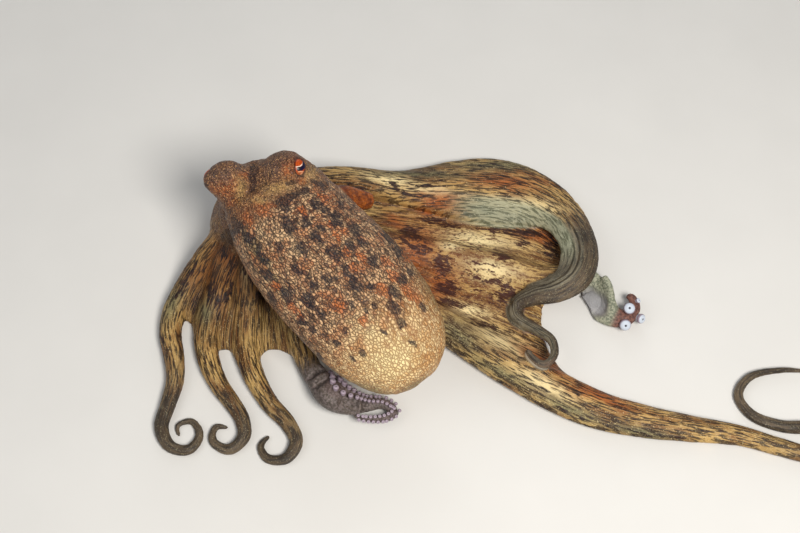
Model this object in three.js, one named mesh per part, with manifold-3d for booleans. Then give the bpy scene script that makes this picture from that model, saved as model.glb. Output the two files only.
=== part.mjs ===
// Common octopus (Octopus vulgaris), a still life-size figure resting on the floor, in millimetres.
// +Z is up and the floor is z = 0. The origin is on the floor under the centre of the arm crown.
// The mantle lies back over the rear arms, towards +X and -Y. R1 to R4 are the animal's right arms and
// L1 to L4 its left ones, each counted from the front of the head.
import * as THREE from "three";
import Module from "manifold-3d";

const wasm = await Module();
wasm.setup();
const { Vector3, CatmullRomCurve3 } = THREE;
const UP = new Vector3(0, 0, 1);
const DEGREE = Math.PI / 180;

// Between the pieces
const PART_GAP = 0.3;
const CLEARANCE = PART_GAP + 0.02; // what a cut takes beyond the neighbour

// Mantle, from the neck back to the blunt rear end
const MANTLE_AXIS = [
  [15, -20, 87],
  [34, -46, 76],
  [59, -71, 65],
  [87, -101, 52],
  [108.5, -128, 41],
];
const MANTLE_HALF_WIDTH = 44;
const MANTLE_HALF_HEIGHT = 34;
const MANTLE_NECK = [0.8, 0.62]; // width and height at the neck as shares of the widest
const MANTLE_WIDEST_AT = 0.45; // share of the length
const MANTLE_BLUNT = 2.5; // power of the rear end's curve, 2 is an ellipse
const MANTLE_STATIONS = 14;
const MANTLE_SIDES = 18;

// Head with its two eye mounds, and the eyes
const HEAD_CENTRE = [6, -15, 86];
const HEAD_HALF = [27, 23, 18]; // across the eyes, front to back, up
const HEAD_YAW = 17; // degrees, the line through the eyes against +X
const MOUNDS = [
  { at: [22, -9, 95], radius: 17 },
  { at: [-15, -12, 96], radius: 13 },
];
const EYE_RADIUS = 7;
const EYES = {
  eye_right: [29, -9, 105],
  eye_left: [-23, -13, 99],
};
const MOUND_SIDES = 14;
const EYE_SIDES = 10;
const HEAD_SIDES = 16;

// Arm crown under the head: centre, height and radius of its rings
const CROWN = [
  [0, 0, 0, 36],
  [0, 0, 22, 36],
  [2, -3, 42, 32],
  [4, -7, 58, 27],
  [6, -10, 72, 20],
];
const CROWN_SIDES = 16;

// Siphon at the right of the neck
const SIPHON_ROUTE = [[44, -18, 80], [58, -10, 72], [75, -5, 61]];
const SIPHON_RADIUS = [10, 9, 6];
const SIPHON_BORE = { radius: 3.2, depth: 9 };
const SIPHON_SIDES = 10;

// Arm cross-section in shares of the arm's radius, from the middle of the sole: a rounded back over a flat
// strip that carries the suckers.
const SOLE_HALF = 0.5;
const BELLY = [0.95, 0.5];
const SHOULDER = [0.8, 1.08];
const RIDGE = [0.36, 1.42];
const AXIS_HEIGHT = 0.75; // of the line an arm is rolled about
const SUCKER_STEP = 2.15; // along a row, in shares of a sucker's radius
const SUCKER_OFFSET = 1.1; // of a row from the middle of the sole
const SUCKER_RISE = 0.8;
const SUCKER_SIDES = 6;
const STATION_TURN = 17; // degrees of bend between two sections
const STATION_STEP = 26; // longest step between two sections

// Each arm: its line as [x, y, height of the sole], the radius at the root and the tip, how it thins (1 is a
// straight cone), and the distances along it at which it is parted. Skirts of web widen a stretch,
// [from, to, right side, left side], a bulge thickens it, [from, to, by], and a roll turns it about its own
// line from there on, [from, to, degrees]. Suckers that show stand in two rows,
// [from, to, their radius as a share of the arm's].
const ARMS = {
  R1: {
    line: [
      [12, 10, 34], [36, 28, 22], [61, 37, 12], [86, 40, 3], [113, 40, 0], [142, 40, 0], [168, 38, 0],
      [189, 32, 0], [207, 18, 3], [217, -3, 10], [219, -24, 15], [213, -40, 15], [200, -48, 12],
      [186, -50, 8], [175, -54, 3], [174, -62, 2], [181, -69, 3], [189, -77, 8], [196, -87, 14],
      [196, -99, 17], [189, -105, 17], [182, -100, 17], [179, -93, 16],
    ],
    radius: 15,
    tip: 2,
    thin: 0.75,
    cuts: [125, 225, 305],
    skirts: [[70, 262, 18, 20], [200, 335, 8, 6]],
  },
  R2: {
    line: [
      [18, 4, 34], [47, -9, 20], [78, -11, 8], [109, -14, 1], [140, -19, 0], [168, -26, 0],
      [192, -33, 0], [209, -32, 0], [224, -34, 1], [231, -44, 1], [234, -55, 1], [240, -62.5, 1],
      [248, -64, 1], [254, -58, 3], [253, -51, 6], [248, -49, 8],
    ],
    radius: 15,
    tip: 2,
    thin: 0.4,
    cuts: [110, 200],
    skirts: [[198, 262, 4, 8]],
    roll: [196, 226, -150],
    suckers: [254, 255, 0.55],
  },
  R3: {
    line: [
      [20, -8, 32], [48, -34, 20], [78, -47, 9], [112, -63, 1], [142, -82, 0], [171, -101, 0],
      [200, -118, 0], [228, -131, 0], [257, -139, 0], [286, -144, 0], [314, -149, 0], [340, -157, 0],
      [362, -162, 0], [374, -153, 0], [364, -144, 0], [344, -142, 0], [325, -134, 0], [318, -120, 0],
      [327, -107, 1], [348, -102, 2], [370, -103, 2],
    ],
    radius: 16,
    tip: 2,
    thin: 0.85,
    cuts: [125, 230, 340, 430],
    skirts: [[90, 360, 7, 3]],
  },
  R4: {
    line: [
      [14, -16, 20], [34, -36, 8], [48, -58, 1], [58, -82, 0], [70, -103, 0], [88, -110, 0], [102, -98, 0],
      [98, -82, 0], [84, -80, 0], [80, -90, 0],
    ],
    radius: 14,
    tip: 2.4,
    thin: 0.9,
    cuts: [95],
  },
  L1: {
    line: [
      [-10, -6, 34], [-23, -16, 23], [-38, -27, 10], [-50, -41, 2], [-58, -58, 0], [-60, -75, 0],
      [-56, -92, 0], [-54, -110, 0], [-57, -127, 0], [-60, -143, 0], [-53, -156, 0], [-41, -158, 0],
      [-35, -148, 0], [-41, -138, 0], [-50, -141, 0], [-48, -149, 0],
    ],
    radius: 13.5,
    tip: 2,
    thin: 0.9,
    cuts: [105],
  },
  L2: {
    line: [
      [-8, -12, 32], [-17, -29, 22], [-26, -46, 8], [-33, -65, 1], [-35, -84, 0], [-31, -100, 0],
      [-24, -114, 0], [-15, -126, 0], [-8, -137, 0], [-6, -149, 0], [-15, -158, 0], [-26, -152, 0],
      [-25, -142, 0], [-16, -142, 0],
    ],
    radius: 13.5,
    tip: 2,
    thin: 0.8,
    cuts: [90],
  },
  L3: {
    line: [
      [-2, -16, 30], [-5, -36, 18], [-7, -56, 5], [-8, -80, 0], [-5, -98, 0], [2, -114, 0], [11, -128, 0],
      [22, -140, 0], [28, -153, 0], [22, -164, 0], [10, -164, 0], [5, -155, 0], [11, -147, 0],
    ],
    radius: 13,
    tip: 2,
    thin: 0.75,
    cuts: [95],
  },
  L4: {
    line: [
      [6, -16, 22], [15, -38, 9], [23, -60, 1], [29, -84, 1], [37, -106, 2], [48, -122, 2], [60, -128, 2],
      [72, -128, 1], [84, -127, 1], [91, -132, 1], [86, -137, 3], [75, -139, 6], [64, -138, 9],
    ],
    radius: 14,
    tip: 2,
    thin: 0.85,
    bulge: [92, 156, 7],
    cuts: [110, 166],
    roll: [87, 130, 155],
    suckers: [130, 156, 0.22],
  },
};

// Webs between neighbouring arms: how far along each arm it reaches, how deep its free edge is cut in and
// how low its middle hangs (shares), and how high it joins each arm, in shares of the arm's radius.
// Lean above 1 keeps it low beside the first arm.
const WEBS = [
  { arms: ["L1", "R1"], reach: [26, 48], notch: 0, sag: 0.15, join: [0.8, 0.8] },
  { arms: ["R1", "R2"], reach: [240, 205], notch: 0.02, sag: 0.4, join: [0.3, 0.8], lean: 2 },
  { arms: ["R2", "R3"], reach: [196, 232], notch: 0.1, sag: 0.45, join: [0.8, 0.8] },
  { arms: ["R3", "R4"], reach: [110, 80], notch: 0.15, sag: 0.4, join: [0.8, 0.8] },
  { arms: ["R4", "L4"], reach: [80, 80], notch: 0.2, sag: 0.4, join: [0.8, 0.8] },
  { arms: ["L4", "L3"], reach: [90, 90], notch: 0.15, sag: 0.3, join: [0.8, 0.8] },
  { arms: ["L3", "L2"], reach: [100, 95], notch: 0.15, sag: 0.3, join: [0.8, 0.8] },
  { arms: ["L2", "L1"], reach: [95, 85], notch: 0.12, sag: 0.3, join: [0.8, 0.8] },
];
const WEB_ROWS = 7;
const WEB_COLUMNS = 5;
const WEB_EDGE = 3; // thickness at the free edge

const FLESH = {
  head: 0x8a6650, mantle: 0xb08a5c, siphon: 0xd07a30, crown: 0x7d5a40, arm: 0x9c8058, web: 0xb59460,
};
const EYE_COLOUR = 0xb4502a;

const at = ([x, y, z]) => new Vector3(x, y, z);
const mix = (a, b, t) => a + (b - a) * t;
const hump = (s, from, to) => (s <= from || s >= to ? 0 : Math.sin((Math.PI * (s - from)) / (to - from)) ** 2);
const ramp = (s, from, to) => {
  const t = Math.min(1, Math.max(0, (s - from) / (to - from)));
  return t * t * (3 - 2 * t);
};

// A closed body through rings of points; a ring of one point is a pole, and an open end gets a flat cap.
function bodyThrough(rings) {
  const points = [];
  const first = rings.map((ring) => points.push(...ring) - ring.length);
  const faces = [];
  for (let k = 0; k + 1 < rings.length; k++) {
    const sides = Math.max(rings[k].length, rings[k + 1].length);
    const corner = (row, i) => first[row] + (rings[row].length === 1 ? 0 : i % sides);
    for (let i = 0; i < sides; i++) {
      if (rings[k].length > 1) faces.push([corner(k, i), corner(k, i + 1), corner(k + 1, i)]);
      if (rings[k + 1].length > 1) faces.push([corner(k, i + 1), corner(k + 1, i + 1), corner(k + 1, i)]);
    }
  }
  for (const [row, turn] of [[0, 1], [rings.length - 1, -1]]) {
    const ring = rings[row];
    if (ring.length === 1) continue;
    const middle = points.push(ring.reduce((sum, p) => sum.add(p), new Vector3()).divideScalar(ring.length)) - 1;
    ring.forEach((_, i) => {
      const edge = [first[row] + i, first[row] + ((i + 1) % ring.length)];
      faces.push(turn > 0 ? [edge[1], edge[0], middle] : [edge[0], edge[1], middle]);
    });
  }
  return solidOf(points, faces);
}

function solidOf(points, faces) {
  let volume = 0;
  for (const [a, b, c] of faces) volume += points[a].dot(points[b].clone().cross(points[c]));
  const facing = volume < 0 ? faces.map(([a, b, c]) => [a, c, b]) : faces;
  return new wasm.Manifold(
    new wasm.Mesh({
      numProp: 3,
      vertProperties: new Float32Array(points.flatMap((p) => p.toArray())),
      triVerts: new Uint32Array(facing.flat()),
    }),
  );
}

function meshOf(name, solid, colour) {
  const { vertProperties, triVerts } = solid.getMesh();
  const geometry = new THREE.BufferGeometry();
  geometry.setAttribute("position", new THREE.BufferAttribute(vertProperties, 3));
  geometry.setIndex(new THREE.BufferAttribute(triVerts, 1));
  geometry.computeVertexNormals();
  const mesh = new THREE.Mesh(geometry, new THREE.MeshStandardMaterial({ color: colour, roughness: 0.6 }));
  mesh.name = name;
  return mesh;
}

function ellipsoid(centre, half, yaw, sides, grow) {
  const rows = Math.round(sides / 2);
  const rings = [];
  for (let k = 0; k <= rows; k++) {
    const polar = (Math.PI * k) / rows;
    const count = k === 0 || k === rows ? 1 : sides;
    rings.push(
      Array.from({ length: count }, (_, i) => {
        const turn = (2 * Math.PI * i) / sides;
        const p = new Vector3(Math.sin(polar) * Math.cos(turn), Math.sin(polar) * Math.sin(turn), Math.cos(polar));
        p.multiply(new Vector3(...half.map((h) => h + grow)));
        return p.applyAxisAngle(UP, yaw * DEGREE).add(at(centre));
      }),
    );
  }
  return bodyThrough(rings);
}

// A frame across a line: `side` level, `up` square to the line.
function frameOf(tangent) {
  const side = new Vector3(tangent.y, -tangent.x, 0).normalize();
  return { side, up: side.clone().cross(tangent).normalize() };
}

function mantle(grow) {
  const curve = new CatmullRomCurve3(MANTLE_AXIS.map(at));
  const length = curve.getLength();
  const rings = [];
  for (let k = 0; k <= MANTLE_STATIONS; k++) {
    const t = Math.sin((Math.PI / 2) * (k / MANTLE_STATIONS)) ** 0.92;
    const rear = Math.max(0, (t - MANTLE_WIDEST_AT) / (1 - MANTLE_WIDEST_AT));
    const front = Math.max(0, 1 - t / MANTLE_WIDEST_AT) ** 2;
    const rounding = Math.max(0, 1 - rear ** MANTLE_BLUNT) ** (1 / MANTLE_BLUNT);
    const [wide, tall] = MANTLE_NECK.map((neck) => rounding * (1 - (1 - neck) * front));
    const tangent = curve.getTangentAt(t);
    const { side, up } = frameOf(tangent);
    const centre = curve.getPointAt(t).addScaledVector(tangent, grow * (2 * t - 1));
    const count = k === MANTLE_STATIONS ? 1 : MANTLE_SIDES;
    rings.push(
      Array.from({ length: count }, (_, i) => {
        const turn = (2 * Math.PI * i) / MANTLE_SIDES;
        const reach = k === MANTLE_STATIONS ? 0 : 1;
        return centre
          .clone()
          .addScaledVector(side, reach * Math.cos(turn) * (MANTLE_HALF_WIDTH * wide + grow))
          .addScaledVector(up, reach * Math.sin(turn) * (MANTLE_HALF_HEIGHT * tall + grow));
      }),
    );
  }
  return bodyThrough(rings);
}

function head(grow) {
  let body = ellipsoid(HEAD_CENTRE, HEAD_HALF, HEAD_YAW, HEAD_SIDES, grow);
  for (const { at: centre, radius } of MOUNDS)
    body = body.add(ellipsoid(centre, [radius, radius, radius], HEAD_YAW, MOUND_SIDES, grow));
  return body;
}

function crown(grow) {
  return bodyThrough(
    CROWN.map(([x, y, z, radius], k) =>
      Array.from({ length: CROWN_SIDES }, (_, i) => {
        const turn = (2 * Math.PI * i) / CROWN_SIDES;
        const level = z + (k === CROWN.length - 1 ? grow : 0);
        return new Vector3(x + Math.cos(turn) * (radius + grow), y + Math.sin(turn) * (radius + grow), level);
      }),
    ),
  );
}

function tube(route, radii, sides, grow) {
  const curve = new CatmullRomCurve3(route.map(at));
  const steps = 6;
  const rings = [];
  for (let k = 0; k <= steps; k++) {
    const t = k / steps;
    const place = t * (radii.length - 1);
    const low = Math.min(radii.length - 2, Math.floor(place));
    const radius = mix(radii[low], radii[low + 1], place - low) + grow;
    const tangent = curve.getTangentAt(t);
    const { side, up } = frameOf(tangent);
    const centre = curve.getPointAt(t).addScaledVector(tangent, grow * (2 * t - 1));
    rings.push(
      Array.from({ length: sides }, (_, i) => {
        const turn = (2 * Math.PI * i) / sides;
        return centre
          .clone()
          .addScaledVector(side, Math.cos(turn) * radius)
          .addScaledVector(up, Math.sin(turn) * radius);
      }),
    );
  }
  return bodyThrough(rings);
}

function siphon(grow) {
  const body = tube(SIPHON_ROUTE, SIPHON_RADIUS, SIPHON_SIDES, grow);
  if (grow > 0) return body;
  const [back, end] = SIPHON_ROUTE.slice(-2).map(at);
  const along = end.clone().sub(back).normalize();
  const inner = end.clone().addScaledVector(along, -SIPHON_BORE.depth);
  const outer = end.clone().addScaledVector(along, 2);
  const bore = [inner.toArray(), outer.toArray()];
  return body.subtract(tube(bore, [SIPHON_BORE.radius * 0.6, SIPHON_BORE.radius * 1.2], 8, 0));
}

// An arm's curve with its size, skirt and roll at a distance along it
function layArm(spec) {
  const curve = new CatmullRomCurve3(spec.line.map(at), false, "centripetal");
  curve.arcLengthDivisions = 800;
  const length = curve.getLength();
  const swell = (s) => (spec.bulge ? spec.bulge[2] * hump(s, spec.bulge[0], spec.bulge[1]) : 0);
  const cone = (s) => (spec.radius - spec.tip) * Math.max(0, 1 - s / length) ** spec.thin;
  const radius = (s) => spec.tip + cone(s) + swell(s);
  const skirt = (s, side) =>
    (spec.skirts ?? []).reduce((sum, [from, to, ...sides]) => sum + sides[side] * hump(s, from, to), 0);
  const roll = (s) => (spec.roll ? spec.roll[2] * ramp(s, spec.roll[0], spec.roll[1]) : 0);
  return { curve, length, radius, skirt, roll, suckers: spec.suckers };
}

function armStations(arm, from, to) {
  const stations = [from];
  let last = arm.curve.getTangentAt(from / arm.length);
  for (let s = from + 1; s < to - 3; s += 1) {
    const tangent = arm.curve.getTangentAt(s / arm.length);
    const turned = last.angleTo(tangent) / DEGREE;
    if (turned < STATION_TURN && s - stations[stations.length - 1] < STATION_STEP) continue;
    stations.push(s);
    last = tangent;
  }
  return [...stations, to];
}

// Points given across the sole and up from it, set on the arm at a distance along it
function acrossArm(arm, s, outline, grow) {
  const t = Math.min(1, Math.max(0, s / arm.length));
  const { side, up } = frameOf(arm.curve.getTangentAt(t));
  const axis = AXIS_HEIGHT * arm.radius(s);
  const centre = arm.curve.getPointAt(t).addScaledVector(up, axis);
  return outline.map(([a, b]) => {
    const p = new Vector3(a, b - axis, 0);
    if (grow > 0) p.addScaledVector(p.clone().normalize(), grow * 1.25);
    p.applyAxisAngle(UP, -arm.roll(s) * DEGREE);
    return centre.clone().addScaledVector(side, p.x).addScaledVector(up, p.y);
  });
}

function armOutline(arm, s) {
  const radius = arm.radius(s);
  const half = (side) => {
    const skirt = arm.skirt(s, side);
    const flat = skirt / (skirt + radius);
    return [
      [SOLE_HALF * radius, 0],
      [BELLY[0] * radius + skirt, mix(BELLY[1], 0.2, flat) * radius],
      [SHOULDER[0] * radius + skirt, mix(SHOULDER[1], 0.5, flat) * radius],
      [RIDGE[0] * radius, RIDGE[1] * radius],
    ];
  };
  return [...half(0), ...half(1).reverse().map(([a, b]) => [-a, b])];
}

// How far a rolled length is lifted to stay on the floor
const liftOf = (ring) => -Math.min(0, ...ring.map((p) => p.z));

function armSection(arm, s, shift, grow) {
  const tangent = arm.curve.getTangentAt(Math.min(1, s / arm.length));
  const lift = liftOf(acrossArm(arm, s, armOutline(arm, s), 0));
  return acrossArm(arm, s, armOutline(arm, s), grow).map((p) => p.addScaledVector(tangent, shift).setZ(p.z + lift));
}

// A sucker is a low cup whose foot is sunk in the sole.
function sucker(arm, s, across, radius) {
  const lift = liftOf(acrossArm(arm, s, armOutline(arm, s), 0));
  const [foot, out] = acrossArm(arm, s, [[across, 0], [across, -1]], 0);
  const normal = out.sub(foot);
  const along = arm.curve.getTangentAt(s / arm.length);
  const sideways = normal.clone().cross(along);
  const ring = (share, rise, count) =>
    Array.from({ length: count }, (_, i) => {
      const turn = (2 * Math.PI * i) / SUCKER_SIDES;
      const reach = count > 1 ? share * radius : 0;
      const p = foot.clone().addScaledVector(along, Math.cos(turn) * reach);
      p.addScaledVector(sideways, Math.sin(turn) * reach).addScaledVector(normal, rise * radius);
      return p.setZ(p.z + lift);
    });
  return bodyThrough([
    ring(0.8, -0.8, SUCKER_SIDES),
    ring(1, SUCKER_RISE * 0.5, SUCKER_SIDES),
    ring(0.7, SUCKER_RISE, SUCKER_SIDES),
    ring(0, SUCKER_RISE * 0.6, 1),
  ]);
}

function suckersOn(arm, [first, last, share], from, to) {
  const made = [];
  for (let s = first; s < last; s += share * arm.radius(s) * SUCKER_STEP)
    for (const row of [-1, 1]) {
      const radius = share * arm.radius(s);
      const place = s + (row * radius * SUCKER_STEP) / 4;
      if (place - radius < from || place + radius > to) continue;
      made.push(sucker(arm, place, row * SUCKER_OFFSET * radius, radius));
    }
  return made;
}

function armLength(arm, from, to, grow) {
  const stations = armStations(arm, from, to);
  const body = bodyThrough(
    stations.map((s, k) => {
      const shift = k === 0 ? -grow : k === stations.length - 1 ? grow : 0;
      return armSection(arm, s, shift, grow);
    }),
  );
  if (grow > 0 || !arm.suckers) return body;
  return suckersOn(arm, arm.suckers, from, to).reduce((sum, one) => sum.add(one), body);
}

// A web is a slab standing on the floor between two arms' lines, in polar steps about the crown.
function web({ arms: names, reach, notch, sag, join, lean = 1 }, laid) {
  const pair = names.map((name) => laid[name]);
  const floor = [];
  const top = [];
  for (let row = 0; row <= WEB_ROWS; row++) {
    for (let column = 0; column <= WEB_COLUMNS; column++) {
      const v = column / WEB_COLUMNS;
      const u = (row / WEB_ROWS) * (1 - notch * Math.sin(Math.PI * v));
      const ends = pair.map((arm, i) => {
        const s = u * reach[i];
        const p = arm.curve.getPointAt(s / arm.length);
        return { p, high: p.z + join[i] * arm.radius(s), turn: Math.atan2(p.y, p.x), far: Math.hypot(p.x, p.y) };
      });
      let swing = ends[1].turn - ends[0].turn;
      if (swing > 0) swing -= 2 * Math.PI;
      const inset = 0.25 / Math.max(10, mix(ends[0].far, ends[1].far, 0.5));
      const turn = ends[0].turn + (swing + 2 * inset) * v - inset;
      const far = mix(ends[0].far, ends[1].far, v);
      const high = mix(ends[0].high, ends[1].high, v ** lean) * (1 - sag * Math.sin(Math.PI * v));
      const thin = mix(high, WEB_EDGE, ramp(row / WEB_ROWS, 0.75, 1) * Math.sin(Math.PI * v) ** 0.5);
      floor.push(new Vector3(far * Math.cos(turn), far * Math.sin(turn), 0));
      top.push(new Vector3(far * Math.cos(turn), far * Math.sin(turn), Math.max(WEB_EDGE, thin)));
    }
  }
  const wide = WEB_COLUMNS + 1;
  const upper = floor.length;
  const faces = [];
  for (let row = 0; row < WEB_ROWS; row++)
    for (let column = 0; column < WEB_COLUMNS; column++) {
      const a = row * wide + column;
      const [b, c, d] = [a + 1, a + wide + 1, a + wide];
      faces.push([a, b, c], [a, c, d]);
      faces.push([upper + a, upper + c, upper + b], [upper + a, upper + d, upper + c]);
    }
  const rim = [];
  for (let column = 0; column < WEB_COLUMNS; column++) rim.push(column);
  for (let row = 0; row < WEB_ROWS; row++) rim.push(row * wide + WEB_COLUMNS);
  for (let column = WEB_COLUMNS; column > 0; column--) rim.push(WEB_ROWS * wide + column);
  for (let row = WEB_ROWS; row > 0; row--) rim.push(row * wide);
  rim.forEach((a, i) => {
    const b = rim[(i + 1) % rim.length];
    faces.push([b, a, upper + a], [b, upper + a, upper + b]);
  });
  return solidOf([...floor, ...top], faces);
}

const largest = (solid) =>
  solid.decompose().reduce((best, piece) => (piece.volume() > best.volume() ? piece : best));

// Each new piece gives way to the ones already placed.
const placed = [];
const group = new THREE.Group();
group.name = "octopus";

function touches(a, b) {
  const [one, two] = [a.boundingBox(), b.boundingBox()];
  return [0, 1, 2].every((i) => one.min[i] <= two.max[i] && two.min[i] <= one.max[i]);
}

function place(name, make, colour) {
  let solid = make(0);
  for (const other of placed) if (touches(solid, other)) solid = solid.subtract(other);
  solid = largest(solid);
  placed.push(make(CLEARANCE));
  group.add(meshOf(name, solid, colour));
}

for (const [name, centre] of Object.entries(EYES))
  place(name, (grow) => ellipsoid(centre, [EYE_RADIUS, EYE_RADIUS, EYE_RADIUS], 0, EYE_SIDES, grow), EYE_COLOUR);
place("mantle", mantle, FLESH.mantle);
place("head", head, FLESH.head);
place("siphon", siphon, FLESH.siphon);
place("crown", crown, FLESH.crown);

const laid = Object.fromEntries(Object.entries(ARMS).map(([name, spec]) => [name, layArm(spec)]));
for (const [name, spec] of Object.entries(ARMS)) {
  const bounds = [0, ...spec.cuts, laid[name].length];
  for (let k = 0; k + 1 < bounds.length; k++) {
    const from = bounds[k] + (k > 0 ? PART_GAP / 2 : 0);
    const to = bounds[k + 1] - (k + 2 < bounds.length ? PART_GAP / 2 : 0);
    place(`arm_${name}_${k + 1}`, (grow) => armLength(laid[name], from, to, grow), FLESH.arm);
  }
}
for (const spec of WEBS) place(`web_${spec.arms.join("_")}`, () => web(spec, laid), FLESH.web);

export default group;
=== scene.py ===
"""Common octopus, a still life-size figure: one skin over the whole body, two eyes, floor, light and camera.

Lengths are millimetres in this script's own arithmetic and metres in the scene. Markings lie where the camera
sees them in the photo, in its pixels.
"""
import math

import bpy
import numpy as np
import openvdb
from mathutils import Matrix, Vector


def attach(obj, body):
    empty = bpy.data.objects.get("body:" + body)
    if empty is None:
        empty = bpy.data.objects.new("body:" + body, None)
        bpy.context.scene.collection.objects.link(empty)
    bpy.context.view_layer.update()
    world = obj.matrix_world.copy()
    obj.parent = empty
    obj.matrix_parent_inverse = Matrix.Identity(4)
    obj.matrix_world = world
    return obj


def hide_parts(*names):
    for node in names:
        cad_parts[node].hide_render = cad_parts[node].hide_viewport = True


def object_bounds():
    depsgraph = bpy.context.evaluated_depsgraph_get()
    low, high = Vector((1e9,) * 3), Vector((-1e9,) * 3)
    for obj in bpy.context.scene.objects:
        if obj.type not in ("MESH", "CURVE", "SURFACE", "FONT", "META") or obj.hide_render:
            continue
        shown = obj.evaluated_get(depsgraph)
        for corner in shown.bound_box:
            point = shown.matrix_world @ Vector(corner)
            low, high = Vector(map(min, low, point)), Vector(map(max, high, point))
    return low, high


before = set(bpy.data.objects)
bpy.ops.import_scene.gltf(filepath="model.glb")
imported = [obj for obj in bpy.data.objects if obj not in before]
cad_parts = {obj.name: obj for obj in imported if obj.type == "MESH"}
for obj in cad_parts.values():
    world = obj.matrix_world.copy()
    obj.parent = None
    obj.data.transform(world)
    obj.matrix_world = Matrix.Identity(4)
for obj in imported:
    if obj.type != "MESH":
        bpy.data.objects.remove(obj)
cad_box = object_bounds()

MM = 0.001
VOXEL = 1.0
FAR = 40.0  # a field's value away from everything
TINY = 1e-6
NEAREST_BATCH = 200000
RIM_BATCH = 20000

# ---------------------------------------------------------------- camera
CAMERA_TARGET = np.array([95.0, -20.0, 0.0])
CAMERA_DISTANCE = 900.0
CAMERA_ELEVATION = math.radians(60)
PICTURE = (800, 533)
FOCAL_PIXELS = 1285.7
SENSOR = 36.0
SIGHT = np.array([0, math.cos(CAMERA_ELEVATION), -math.sin(CAMERA_ELEVATION)])
PICTURE_UP = np.array([0, math.sin(CAMERA_ELEVATION), math.cos(CAMERA_ELEVATION)])
CAMERA_AT = CAMERA_TARGET - CAMERA_DISTANCE * SIGHT

# ---------------------------------------------------------------- body shapes, as in the solids
MANTLE_AXIS = [[15, -20, 87], [34, -46, 76], [59, -71, 65], [87, -101, 52], [108.5, -128, 41]]
MANTLE_HALF = (44.0, 34.0)
MANTLE_NECK = (0.8, 0.62)
MANTLE_WIDEST_AT = 0.45
MANTLE_BLUNT = 2.5
MANTLE_TAPER_LIMIT = 1.3
MANTLE_FRONT = -6  # where it ends inside the head, along its axis
MANTLE_LEAST_SLOPE = 0.012
MANTLE_BOX = ([-45, -180, -3], [170, 30, 125])
MANTLE_BLEND = 0.01  # nothing is there yet to blend with
HEAD_CENTRE = [6, -15, 86]
HEAD_HALF = [27, 23, 18]
HEAD_YAW = math.radians(17)
HEAD_REACH = 42
HEAD_BLEND = 7
MOUNDS = [([22, -9, 95], 17.0), ([-15, -12, 96], 13.0)]
MOUND_REACH = 32
MOUND_BLEND = 5
CROWN = [[0, 0, 0, 36], [0, 0, 22, 36], [2, -3, 42, 32], [4, -7, 58, 27], [6, -10, 72, 20]]
CROWN_BOX = ([-50, -50, -3], [50, 50, 84])
CROWN_BLEND = 9
SIPHON_ROUTE = [[44, -18, 80], [58, -10, 72], [75, -5, 61]]
SIPHON_RADIUS = [10, 9, 6]
SIPHON_REACH = 20
SIPHON_BLEND = 3
BORE_DEPTH = 9.0
BORE_PAST = 3  # how far the cutting shape goes on past the siphon's end
BORE_RADIUS = [2.04, 4.25]  # inside and at the mouth
BORE_BLEND = 0.8
TUBE_END = 0.8  # half a sample's length, with a little over
TUBE_ROUND = 1.5

EYE_RADIUS = 7.0
EYES = {
    "eye_right": {"at": [29, -9, 105], "faces": [0.5, -0.33, 0.8], "upright": [0.05, 0.86, 0.5], "hand": 1},
    "eye_left": {"at": [-23, -13, 99], "faces": [-0.9, 0.34, 0.24], "upright": [0.2, 0.55, 0.8], "hand": -1},
}
LID_RADIUS = 7.8
LID_OPENING = (5.7, 3.2)
LID_INNER_END = 4.6  # the opening is cut from this height above the eye's centre outwards
LID_REACH = 16
LID_BLEND = 2.5
LID_EDGE = 1.2

# an arm's section: half width and height of its corners in radii
SOLE_HALF = 0.5
BELLY = (0.95, 0.5)
SHOULDER = (0.8, 1.08)
RIDGE = (0.36, 1.42)
SKIRT_BELLY = 0.2  # the same two heights out on a wide skirt
SKIRT_SHOULDER = 0.5
AXIS_HEIGHT = 0.75
DISH_HALF = 0.75  # share of the half width that is hollow
EDGE_ROUND = (0.11, 0.15)  # share of the radius, and millimetres over it
TIP_ROUND = 1.3  # length of the rounded end in tip radii
TIP_LEAST = 0.95
ARM_END = 1  # an arm goes on so far past its last sample
ARM_REACH = 1.3  # radii that hold a whole section
STRETCH_SAMPLES = 12  # an arm is worked on in stretches of so many samples
STRETCH_OVERLAP = 15

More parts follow.
